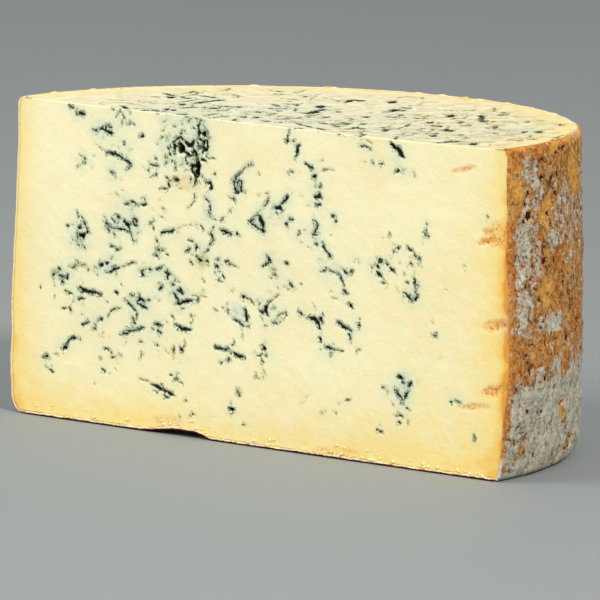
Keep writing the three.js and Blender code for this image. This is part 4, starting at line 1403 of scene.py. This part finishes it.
@dataclass
class Paste:
    """The paste: a fine sheet over the cut face and the top, closed by a coarse one hidden in the rind."""

    columns: int = 352
    face_rows: int = 180
    top_rows: int = 66
    rind_inset: float = 0.8
    hidden_inset: float = 2.4
    hidden_base_rows: int = 14
    face_stout: float = 0.72
    top_stout: float = 1.15
    top_dark: float = 1.8
    top_contrast: float = 1.4
    top_clear: float = 0.4  # no stray of the top comes nearer to the cut face, in mm
    top_turn_seed: int = 7
    tangle_left: float = -37.0
    tangle_right: float = -20.0
    tangle_low: float = 82.0
    face_strays: tuple[Strays, ...] = (Strays(170, 3.2, 11), Strays(280, 1.5, 14, 0.7, 0.9))
    tangle_strays: Strays = Strays(70, 1.8, 15, 0.8, 0.95)
    top_strays: Strays = Strays(520, 9.0, 12, 3.0)
    gold_from: float = 100.5  # how far from the middle the gold starts to fall, in mm
    seam_depth: float = 0.45
    crumb_depth: float = 0.10
    top_crumb: float = 1.2  # by how much more the top crumbles
    rust_depth: float = 0.25
    calm_rows: int = 3  # how many rows in from its border the sheet takes its full depth
    map_low: float = 0.01
    map_fold: float = 0.16
    map_high: float = 0.99
    finish: BluePaste = field(default_factory=BluePaste)

    def gold(self, x: Array, t: Array, back: Array) -> Array:
        """How far the paste has ripened to gold: falls with distance from each side that has rind.

        Args:
            x: place across.
            t: height on the face, or the top's height plus the distance back.
            back: distance behind the cut face, for the top.

        Returns:
            Numbers from 0, cream, to about 2, deep gold.
        """
        # Each fall is from its strength at the rind, with its reach in mm
        right, left = self.gold_from - x, x + self.gold_from
        arc = WHEEL.radius - np.hypot(x, back - WHEEL.cut_from_axis)
        sides = fall(right, 1.2, 6.5) + fall(left, 0.95, 5.5)
        low = fall(t, 0.9, 8.0) + 0.12 * smooth(60, 10, t)
        face = sides + low * (1 - 0.6 * np.minimum(sides, 1)) + 0.2 * smooth(10, 80, x)
        top = fall(arc, 0.7, 3.0) + 0.3 * smooth(24, 6, arc)
        top = top + fall(arc, 0.6, 5.0) * smooth(55, 90, x) + 0.1 * smooth(-20, 80, x)
        wander = 1 + 0.35 * rough(x, t, 60.0, 22.0, 3)
        edge = fall(right - 1.5, 0.85, 1.1)
        on_face = t <= WHEEL.height
        return np.where(on_face, np.minimum(face * wander, 1.5) + edge, np.minimum(top * wander, 1.5))

    def lay_seams(self, mould: Mould) -> None:
        """Lay every seam: those of the cut face with their strays, then those of the top with theirs.

        Args:
            mould: what they are laid on.
        """
        tangle = tuple(
            seam
            for seam in FACE_VEINS
            if self.tangle_left < seam.path[0][0] < self.tangle_right and seam.path[0][1] > self.tangle_low
        )
        strays = sum((some.about(FACE_VEINS) for some in self.face_strays), ())
        for seam in FACE_VEINS + strays + self.tangle_strays.about(tangle):
            mould.seam(seam, self.face_stout)
        top = turned(TOP_VEINS, self.top_turn_seed)
        for seam in top:
            shade = min(1, self.top_dark * seam.shade**self.top_contrast)
            mould.seam(replace(seam, shade=shade), self.top_stout, TOP)
        for seam in self.top_strays.about(top):
            if min(back for _, back in seam.path) > self.top_clear:
                mould.seam(seam, lift=TOP)

    def values(self, mould: Mould, x: Array, t: Array, back: Array) -> dict[str, Array]:
        """What shows at each point: the mould's values, the gold, and how the open top has dried.

        Args:
            mould: the mould, laid.
            x: place across.
            t: height on the face, or the top's height plus the distance back.
            back: distance behind the cut face.

        Returns:
            A number for each point, by the name of the attribute. The stain about the seams is weaker
            where the paste is dry and low down, and comes and goes in clouds.
        """
        values = dict(mould.values, gold=self.gold(x, t, back))
        values["dry"] = smooth(-0.6, 0.6, t - TOP) * (0.55 + 0.45 * smooth(-40, 80, x))
        clouds = mix(0.45, 1.3, smooth(-0.5, 0.4, rough(x, t, 33.0, 14.0, 2)))
        values["halo"] = values["halo"] * (1 - 0.6 * values["dry"])
        values["halo"] = values["halo"] * np.minimum(clouds * mix(0.4, 1, smooth(5, 35, t)), 1)
        return values

    def sink(self, grid: Array, depth: Array) -> None:
        """Sink the sheet by its depth, back from the face and down from the top, but not at its border.

        Args:
            grid: points of the sheet, which are moved.
            depth: how deep in mm each point goes.
        """
        rows, columns = (np.arange(size) for size in depth.shape)
        inner = np.minimum(np.minimum(rows, rows[::-1]) / self.calm_rows, 1)[:, None]
        ends = np.minimum(columns, columns[::-1]) / self.calm_rows
        depth = depth * np.minimum(inner, ends)
        on_top = smooth(self.face_rows - 1, self.face_rows + 1, rows)[:, None]
        grid[..., 1] += depth * (1 - on_top)
        grid[..., 2] -= depth * on_top

    def build(self) -> bpy.types.Object:
        """Make the piece.

        Returns:
            The object: the cut sheet with its seams and holes sunk in, and the hidden sheet behind.
        """
        sheet = CutSheet(self.columns, self.face_rows, self.top_rows, self.rind_inset)
        grid = sheet.grid()
        x, back = grid[..., 0], grid[..., 1] - WHEEL.cut_y
        on_face = np.arange(len(grid))[:, None] <= self.face_rows
        t = np.where(on_face, grid[..., 2], TOP + back)
        mould = Mould(x, t)
        self.lay_seams(mould)
        for spot in PATCHES:
            mould.patch(spot)
        depth = sum(mould.hollow(hole) for hole in HOLLOWS)
        values = self.values(mould, x, t, back)
        depth = depth + self.seam_depth * values["shade"] * smooth(0.5, -0.3, values["gap"])
        crumbly = self.crumb_depth * (1 + self.top_crumb * (t > TOP))
        depth = depth + crumbly * (1 + rough(x, t, 23.0, 3.0, 3)) + self.rust_depth * values["rust"]
        self.sink(grid, depth)

        shell = Shell("blue_paste")
        index = shell.add(grid, values)
        low, fold, high = self.map_low, self.map_fold, self.map_high
        place = rectangle(len(grid), self.columns + 1, low, fold, high, high)
        place[..., 1] = fold + (high - fold) * (t - t.min()) / (t.max() - t.min())
        shell.skin(index, place)
        hidden = WallSheet(self.columns // 4, self.face_rows // 4, self.hidden_base_rows, self.hidden_inset)
        deep = shell.add(hidden.grid())
        shell.skin(deep, rectangle(*deep.shape, low, low, high, fold - 2 * low))
        shell.stitch(sheet.border(index)[::-1], hidden.border(deep)[::-1])
        return shell.build(self.finish.make())


# ---- The rind ----


@dataclass
class Rind:
    """The rind: a fine sheet over wall and base, a ragged edge where it was cut, and a coarse inner side."""

    columns: int = 464
    wall_rows: int = 148
    base_rows: int = 14
    inner_inset: float = 2.2
    edge: float = 1.5
    edge_ragged: float = 0.5
    edge_crumb: float = 0.14
    edge_clod: float = 0.35
    edge_clod_size: float = 3.2
    edge_rise: float = 0.65  # how far up the cut face its lower edge goes, of its own thickness
    edge_shares: tuple[float, ...] = (0.25, 0.55, 0.85, 1.0, 1.15)  # where its rings lie, of its thickness
    edge_proud: tuple[float, ...] = (0.02, 0.05, 0.03, -0.04, -0.3)  # how far each stands out of the cut
    edge_strips: int = 8
    crag_depth: float = 0.9
    crag_top: float = 0.2  # the crags' height where the hand has smoothed them off
    grain_depth: float = 0.4
    pit_depth: float = 1.3
    pit_reach: float = 5.0
    bloom_height: float = 0.25
    rust_depth: float = 0.2
    near_start: float = -3.0
    near_end: float = 54.0
    far_end: float = 318.0
    growth_end: float = 322.0
    growth_count: int = 110
    near_pits: int = 230
    far_pits: int = 620
    seed: int = 5
    finish: DryRind = field(default_factory=DryRind)

    def growths(self) -> list[Growth]:
        """Gather the growths.

        Returns:
            The laid growths of the near side, and seeded ones like them round the rest.
        """
        chance = np.random.default_rng(self.seed)
        kinds = (Bark.BLOOM, Bark.RUST, Bark.GOLD, Bark.LILAC, Bark.OLIVE)
        found = list(GROWTHS)
        for _ in range(self.growth_count):
            kind = kinds[chance.choice(len(kinds), p=(0.3, 0.3, 0.22, 0.1, 0.08))]
            size = chance.uniform(2.5, 8.0)
            arc, z = chance.uniform(self.near_end, self.growth_end), chance.uniform(-2, WHEEL.height + 2)
            tallness, strength = chance.uniform(0.5, 1.6), chance.uniform(0.5, 1.1)
            found.append(Growth(kind, arc, z, size, size * tallness, strength))
        return found

    def pits(self) -> list[tuple[float, float, float]]:
        """Gather the pits.

        Returns:
            The laid pits, and seeded ones like them all round, most of them small.
        """
        chance = np.random.default_rng(self.seed + 1)
        found = list(PITS)
        for _ in range(self.near_pits):
            z, arc = 103 * chance.random() ** 0.85, chance.uniform(self.near_start, self.near_end)
            found.append((arc, z, 0.3 + 0.5 * chance.random() ** 2.0))
        for _ in range(self.far_pits):
            size, arc = 0.3 + 0.9 * chance.random() ** 2.5, chance.uniform(self.near_end, self.far_end)
            found.append((arc, 104 * chance.random() ** 0.8, size))
        return found

    def growth_values(self, arc: Array, z: Array) -> dict[str, Array]:
        """How strong each growth is at each point of the wall: clouds of noise, and the growths over them.

        Args:
            arc: distance round the wall in mm.
            z: height.

        Returns:
            A number for each point, by the name of the growth. A grey band of bloom runs along the foot,
            and wanders up and down behind.
        """
        x, y = WHEEL.around(arc / WHEEL.radius)
        values = {kind.value: np.zeros(arc.shape) for kind in Bark}
        low = z + 16 * rough(x, y, 50.0, 38.0, 2) * smooth(50, 90, arc)
        for key, usual, swing, slip, size, octaves in (
            ("bloom", 0.38, 0.55, 300, 16.0, 4),
            ("rust", 0.34, 0.5, 700, 13.0, 4),
            ("gold", 0.16, 0.4, 500, 12.0, 3),
        ):
            values[key] = usual + swing * rough(x, y, z + slip, size, octaves)
        values["bloom"] += 0.62 * smooth(38, 26, low)
        values["rust"] -= 0.3 * smooth(40, 20, low)
        push = 0.6 * rough(x, y, z + 900, 6.0, 4)
        for growth in self.growths():
            edge = np.hypot((arc - growth.arc) / growth.half_arc, (z - growth.z) / growth.half_z) + push
            amount = growth.strength * smooth(1.5, 0.3, edge)
            values[growth.kind.value] = values[growth.kind.value] * (1 - amount) + 0.85 * amount
            if growth.kind is not Bark.BLOOM:
                values["bloom"] = values["bloom"] * (1 - amount) + 0.12 * amount
        return values

    def pit_value(self, arc: Array, z: Array) -> Array:
        """How far each point is down a pit: the deepest of round bowls with noisy edges.

        Args:
            arc: distance round the wall in mm.
            z: height.

        Returns:
            Numbers from 0, on the wall, to 1, at the bottom of a pit.
        """
        x, y = WHEEL.around(arc / WHEEL.radius)
        bend, lean = (0.7 * noise(x / 2.2, y / 2.2, z / 2.2 + slip) for slip in (0, 40))
        value = np.zeros(arc.shape)
        for at, high, half in self.pits():
            near = (np.abs(arc - at) < self.pit_reach) & (np.abs(z - high) < self.pit_reach)
            gap = np.hypot(arc[near] + bend[near] - at, 0.8 * (z[near] + lean[near] - high)) / half
            value[near] = np.maximum(value[near], smooth(1.5, 0.35, gap))
        return value

    def wall_values(self, arc: Array, z: Array) -> dict[str, Array]:
        """What shows on the wall: growths and pits, and a gold and rusty rim near the right-hand corner.

        Args:
            arc: distance round the wall in mm.
            z: height.

        Returns:
            A number for each point, by the name of the growth.
        """
        values = self.growth_values(arc, z) | {"pit": self.pit_value(arc, z)}
        near, down = smooth(70, 30, arc), WHEEL.height - z
        values["gold"] = values["gold"] + mix(0.1, 0.4, near) * smooth(5, 1, down)
        values["rust"] = values["rust"] + 0.5 * near * smooth(2.4, 0.6, down)
        return values

    def lift(self, values: dict[str, Array], arc: Array, z: Array) -> Array:
        """How far each point of the wall is pushed out: crags, grain and growths, less the pits.

        Args:
            values: what shows on the wall.
            arc: distance round the wall in mm.
            z: height.

        Returns:
            The push in mm, which dies out at the cut, at the foot and in part at the rim.
        """
        x, y = WHEEL.around(arc / WHEEL.radius)
        lift = self.crag_depth * np.minimum(rough(x, y, z, 5.0, 4), self.crag_top)
        lift = lift + self.grain_depth * rough(x, y, z + 90, 1.9, 2)
        lift = lift + self.bloom_height * np.clip(values["bloom"], 0, 1)
        lift = lift - self.rust_depth * np.clip(values["rust"], 0, 1) - self.pit_depth * values["pit"]
        ends = np.minimum(arc - arc[0, 0], arc[0, -1] - arc)
        rim = mix(0.35, 1, smooth(0, 2.0, WHEEL.height - z))
        return lift * smooth(0, 2.5, ends) * rim * smooth(0, 3.0, z)

    def sheet_values(self, values: dict[str, Array], arc: Array, z: Array) -> dict[str, Array]:
        """What shows on the whole sheet: the wall, the grey base with its last row dark with crust and
        painted contact shadow, and torn places.

        Args:
            values: what shows on the wall.
            arc: distance round the wall in mm.
            z: height.

        Returns:
            A number for each point, by the name of the growth.
        """
        x, y = WHEEL.around(arc / WHEEL.radius)
        torn = np.minimum(WHEEL.height - z, 0.8 * (arc - arc[0, 0]) + 0.5) + 1.3 * rough(x, y, z + 40, 2.0, 3)
        values = values | {"cut": smooth(1.5, 0.3, torn) * self.paleness(x, z)}
        # The base's last row, at the cut's lower edge, is dark: partly the rind's own dark crust, partly
        # painted contact shadow
        on_base, last = {"bloom": 0.9}, {"bloom": 0.0, "pit": 0.9}
        sheet = {}
        for key, value in values.items():
            base = np.full((self.base_rows, self.columns + 1), on_base.get(key, 0.0))
            base[-1] = last.get(key, 0.0)
            sheet[key] = np.concatenate([value, base])
        return sheet

    def paleness(self, x: Array, z: Array) -> Array:
        """How far torn rind shows pale paste: everywhere but up the right, where it has dried orange."""
        return 1 - 0.75 * smooth(80, 98, x) * smooth(3, 12, z)

    def edge_values(self, ring: Array, share: float) -> dict[str, Array]:
        """What shows on the cut edge: orange down the right, pale on the left, brown-gold below and behind,
        and a dark line along the foot that is partly dark crust and partly painted contact shadow.

        Args:
            ring: points of the edge.
            share: how far in from the rim they lie.

        Returns:
            A number for each point, by the name of the growth.
        """
        x, y, z = ring.T
        right = smooth(80, 98, x) * (1 - 0.8 * share)
        low = smooth(2.5, 0, z - WHEEL.dent(x)) * (y < WHEEL.cut_y + 1)
        behind = smooth(WHEEL.cut_y + 1, WHEEL.cut_y + 10, y)
        fleck = rough(x, y, z, 3.0, 3)
        corner = 0.75 * smooth(12, 3, z) * smooth(90, 100, x)
        return {
            "cut": self.paleness(x, z),
            "gold": 0.3 * behind + 0.42 * low * (share > 0.3) + 0.2 * fleck,
            "rust": 1.1 * right * smooth(3, 12, z) + 0.4 * fleck * (1 - behind) * (1 - low),
            "bloom": (0.22 - 0.3 * fleck) * behind * (1 - right) + corner,
            # dark along the foot: partly dark crust, partly painted contact shadow
            "pit": low * (1.1 * (share < 0.3) + 0.5 * (0.3 < share) * (share < 0.6)),
        }

    def edge_directions(self, rim: Array) -> tuple[Array, Array]:
        """Which way the cut edge runs in from the rim, and which way it faces.

        Args:
            rim: points round the rim, along the cut's lower edge, up the left, round and down the right.

        Returns:
            Unit directions inwards over the cut, and outwards from it.
        """
        m, n = self.columns, self.wall_rows
        inward, outward = np.zeros_like(rim), np.zeros_like(rim)
        inward[:m] = (0, 0, 1)
        inward[m : m + n] = (1, 0, 0)
        arc = slice(m + n, 2 * m + n)
        axis_y = WHEEL.cut_y + WHEEL.cut_from_axis
        out = np.stack([rim[arc, 0], rim[arc, 1] - axis_y, 0 * rim[arc, 0]], -1)
        inward[arc] = -out / np.linalg.norm(out, axis=1)[:, None]
        inward[2 * m + n :] = (-1, 0, 0)
        inward[m + n] = (1, 0, 0)
        outward[:] = (0, -1, 0)
        outward[arc] = (0, 0, 1)
        outward[m + n] = outward[2 * m + n] = (0, -1, 1)
        return inward, outward

    def cut_edge(self, shell: Shell, rim: Array) -> list[Array]:
        """Add the rings of the cut edge, from the rim inwards, each proud of the cut by crumbs and clods.

        Args:
            shell: the mesh to add them to.
            rim: points round the rim.

        Returns:
            The indices of each ring's points.
        """
        x, y, z = rim.T
        inward, outward = self.edge_directions(rim)
        thick = self.edge + self.edge_ragged * rough(x, y, z, 3.0, 3)
        thick = thick * mix(0.7, 1, smooth(0, 4, z)) * mix(0.45, 1, smooth(-99, -88, x))
        crumb = self.edge_crumb * np.abs(rough(x + 60, y, z, 1.8, 2))
        clods = noise(*((rim + (0, 90, 0)) / self.edge_clod_size).T)
        crumb = crumb + self.edge_clod * smooth(0.2, 0.7, clods)
        rings = []
        for share, rise in zip(self.edge_shares, self.edge_proud):
            proud = rise + crumb * max(0, 4 * share * (1 - share))
            ring = rim + inward * (thick * share)[:, None] + outward * proud[:, None]
            low = np.maximum(ring[:, 2], self.edge * share * self.edge_rise)
            ring[:, 2] = np.where(ring[:, 1] < WHEEL.cut_y + 0.5, low, ring[:, 2])
            rings.append(shell.add(ring, self.edge_values(ring, share)))
        return rings

    def cover_edge(self, shell: Shell, rings: list[Array]) -> None:
        """Cover the cut edge, in strips that lie one above another in the picture map.

        Args:
            shell: the mesh.
            rings: indices of the points round each ring, from the rim inwards.
        """
        band = np.stack(rings)
        band = np.concatenate([band, band[:, :1]], axis=1)
        length = band.shape[1] // self.edge_strips
        for strip in range(self.edge_strips):
            low = 0.02 + 0.47 * strip / self.edge_strips
            place = rectangle(len(band), length + 1, 0.77, low, 0.98, low + 0.4 / self.edge_strips)
            shell.skin(band[:, strip * length : (strip + 1) * length + 1], place)

    def build(self) -> bpy.types.Object:
        """Make the piece.

        Returns:
            The object: wall and base, the ring of cut edge in steps, then the inner side.
        """
        sheet = WallSheet(self.columns, self.wall_rows, self.base_rows)
        grid = sheet.grid()
        wall = grid[: self.wall_rows + 1]
        angle = np.broadcast_to(WHEEL.angle(np.linspace(0, 1, self.columns + 1)), wall.shape[:2])
        arc, z = WHEEL.radius * angle, wall[..., 2]
        values = self.wall_values(arc, z)
        lift = self.lift(values, arc, z)
        wall[..., 0] += lift * np.cos(angle)
        wall[..., 1] = np.maximum(wall[..., 1] + lift * np.sin(angle), WHEEL.cut_y)

        shell = Shell("natural_rind")
        index = shell.add(grid, self.sheet_values(values, arc, z))
        half, rows = self.columns // 2, self.wall_rows + 1
        shell.skin(index[:rows, : half + 1], rectangle(rows, half + 1, 0.01, 0.99, 0.74, 0.515))
        shell.skin(index[:rows, half:], rectangle(rows, half + 1, 0.01, 0.485, 0.74, 0.01))
        base = index[rows - 1 :]
        shell.skin(base, rectangle(*base.shape, 0.76, 0.5, 0.99, 0.99))
        loop = sheet.border(index)
        rings = self.cut_edge(shell, grid.reshape(-1, 3)[loop])
        self.cover_edge(shell, [loop, *rings])

        hidden = WallSheet(self.columns // 4, self.wall_rows // 4, self.base_rows, self.inner_inset)
        deep = shell.add(hidden.grid())
        shell.skin(deep[:, ::-1])
        shell.stitch(rings[-1], hidden.border(deep))
        return shell.build(self.finish.make())


# ---- Crumbs ----


@dataclass
class Crumbs:
    """Crumbs of paste that cling along the lower edge of the cut face."""

    count: int = 110
    small: float = 0.18
    large: float = 0.6
    left: float = -94.0
    right: float = 97.0
    heaps: tuple[float, ...] = (-30.0, 30.0, 88.0, 46.0)
    heap_spread: float = 6.0
    lift: float = 0.5
    climb: float = 0.9
    sunk: float = -0.02
    lump: float = 0.35
    lump_scale: float = 1.7
    palest: float = 0.1
    goldest: float = 0.85
    rings: int = 5
    sides: int = 7
    map_cells: int = 11
    seed: int = 3

    def places(self, chance: np.random.Generator) -> tuple[Array, Array]:
        """Where the crumbs are and how large: a third of them in heaps, the rest anywhere.

        Args:
            chance: the random numbers.

        Returns:
            The crumbs' middles and radii in mm.
        """
        x = chance.uniform(self.left, self.right, self.count)
        heaped = self.count // 3
        x[:heaped] = chance.choice(self.heaps, heaped)
        x[:heaped] += chance.normal(0, self.heap_spread, heaped)
        x = np.clip(x, self.left, self.right)
        size = self.small + (self.large - self.small) * chance.random(self.count) ** 2
        height = WHEEL.dent(x) + size + self.lift + chance.exponential(self.climb, self.count)
        return np.stack(np.broadcast_arrays(x, WHEEL.cut_y + self.sunk, height), -1), size

    def build(self, material: bpy.types.Material) -> bpy.types.Object:
        """Make the piece: each crumb a ball of two angles, pushed in and out by noise.

        Args:
            material: the paste's own finish.

        Returns:
            The object.
        """
        chance = np.random.default_rng(self.seed)
        middle, size = self.places(chance)
        middle, size = middle[:, None, None, :], size[:, None, None]
        lat = np.linspace(-math.pi / 2, math.pi / 2, self.rings)[None, :, None]
        lon = np.linspace(0, 2 * math.pi, self.sides + 1)[None, None, :-1]
        flat = np.cos(lat)
        ball = np.stack(np.broadcast_arrays(flat * np.cos(lon), flat * np.sin(lon), np.sin(lat)), -1)
        lumpy = 1 + self.lump * noise(*np.moveaxis(ball * self.lump_scale + middle * 3.1, -1, 0))
        grid = middle + ball * (size * lumpy)[..., None]
        grid = np.concatenate([grid, grid[:, :, :1]], axis=2)

        shell = Shell("clinging_crumbs")
        gold = chance.uniform(self.palest, self.goldest, self.count)[:, None, None]
        index = shell.add(grid, {"gold": np.broadcast_to(gold, grid.shape[:3])})
        for crumb in range(self.count):
            left, low = (crumb % self.map_cells) / self.map_cells, (crumb // self.map_cells) / self.map_cells
            place = rectangle(*index[crumb].shape, left + 0.01, low + 0.01, left + 0.08, low + 0.08)
            shell.skin(index[crumb], place)
        return shell.build(material)


# ---- Studio ----


@dataclass(frozen=True)
class Lamp:
    """A square lamp that faces the cheese: its name, its place and side in metres, and its power in watts."""

    name: str
    place: tuple[float, float, float]
    size: float
    power: float
    aim: tuple[float, float, float] = (0.0, 0.0, 0.05)

    def build(self) -> None:
        """Hang the lamp."""
        light = bpy.data.lights.new(self.name, "AREA")
        light.shape, light.size, light.energy = "SQUARE", self.size, self.power
        lamp = bpy.data.objects.new(self.name, light)
        lamp.location = self.place
        lamp.rotation_euler = (Vector(self.aim) - Vector(self.place)).to_track_quat("-Z", "Y").to_euler()
        bpy.context.scene.collection.objects.link(lamp)


@dataclass
class Studio:
    """Floor, soft lights and the camera."""

    floor_half: float = 6000.0
    floor_drop: float = 0.1
    look_at: tuple[float, float, float] = (-16.80, -8.45, 41.24)
    distance: float = 2355.6
    azimuth: float = 37.631
    elevation: float = 8.210
    roll: float = 1.067
    lens: float = 432.8
    sky: str = "#E9EDF0"
    sky_strength: float = 0.55
    lamps: tuple[Lamp, ...] = (
        Lamp("key", (-1.2, -1.4, 1.3), 1.3, 30.5),
        Lamp("fill", (1.9, -0.9, 1.6), 0.4, 48.0),
        Lamp("top", (0.1, 0.3, 2.3), 1.5, 1.0),
    )

    def floor(self) -> bpy.types.Object:
        """Make the floor.

        Returns:
            The object: one flat square just under the cheese.
        """
        half, drop = self.floor_half * MM, self.floor_drop * MM
        corners = [(x * half, y * half, -drop) for x, y in ((-1, -1), (1, -1), (1, 1), (-1, 1))]
        mesh = bpy.data.meshes.new("studio_floor")
        mesh.from_pydata(corners, [], [(0, 1, 2, 3)])
        mesh.materials.append(StudioFloor().make())
        floor = bpy.data.objects.new("studio_floor", mesh)
        bpy.context.scene.collection.objects.link(floor)
        return floor

    def camera(self) -> None:
        """Make the camera: back from the point it looks at, with its own right and up turned by the roll."""
        turn, rise, roll = (math.radians(a) for a in (self.azimuth, self.elevation, self.roll))
        ahead = Vector((-math.sin(turn) * math.cos(rise), math.cos(turn) * math.cos(rise), -math.sin(rise)))
        level = Vector((math.cos(turn), math.sin(turn), 0))
        upright = level.cross(ahead)
        right = math.cos(roll) * level + math.sin(roll) * upright
        up = math.cos(roll) * upright - math.sin(roll) * level
        data = bpy.data.cameras.new("camera")
        data.lens, data.sensor_width = self.lens, 36.0
        data.clip_start, data.clip_end = 0.1, 20.0
        camera = bpy.data.objects.new("camera", data)
        place = Matrix.Translation((Vector(self.look_at) - self.distance * ahead) * MM)
        camera.matrix_world = place @ Matrix((right, up, -ahead)).transposed().to_4x4()
        bpy.context.scene.collection.objects.link(camera)
        bpy.context.scene.camera = camera

    def sky_light(self) -> None:
        """Light everything evenly from a plain pale sky."""
        world = bpy.data.worlds.new("studio")
        world.use_nodes = True
        background = world.node_tree.nodes["Background"]
        background.inputs["Color"].default_value = linear(self.sky)
        background.inputs["Strength"].default_value = self.sky_strength
        bpy.context.scene.world = world

    def build(self) -> None:
        """Put the whole studio up."""
        bpy.context.scene.view_settings.view_transform = "Standard"
        self.floor()
        self.sky_light()
        for lamp in self.lamps:
            lamp.build()
        self.camera()


def main() -> None:
    """Build the studio and each piece in order."""
    logging.basicConfig(level=logging.INFO, format="%(name)s %(message)s")
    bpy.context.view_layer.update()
    Studio().build()
    paste = Paste().build()
    Rind().build()
    Crumbs().build(paste.data.materials[0])


if __name__ == "__main__":
    main()
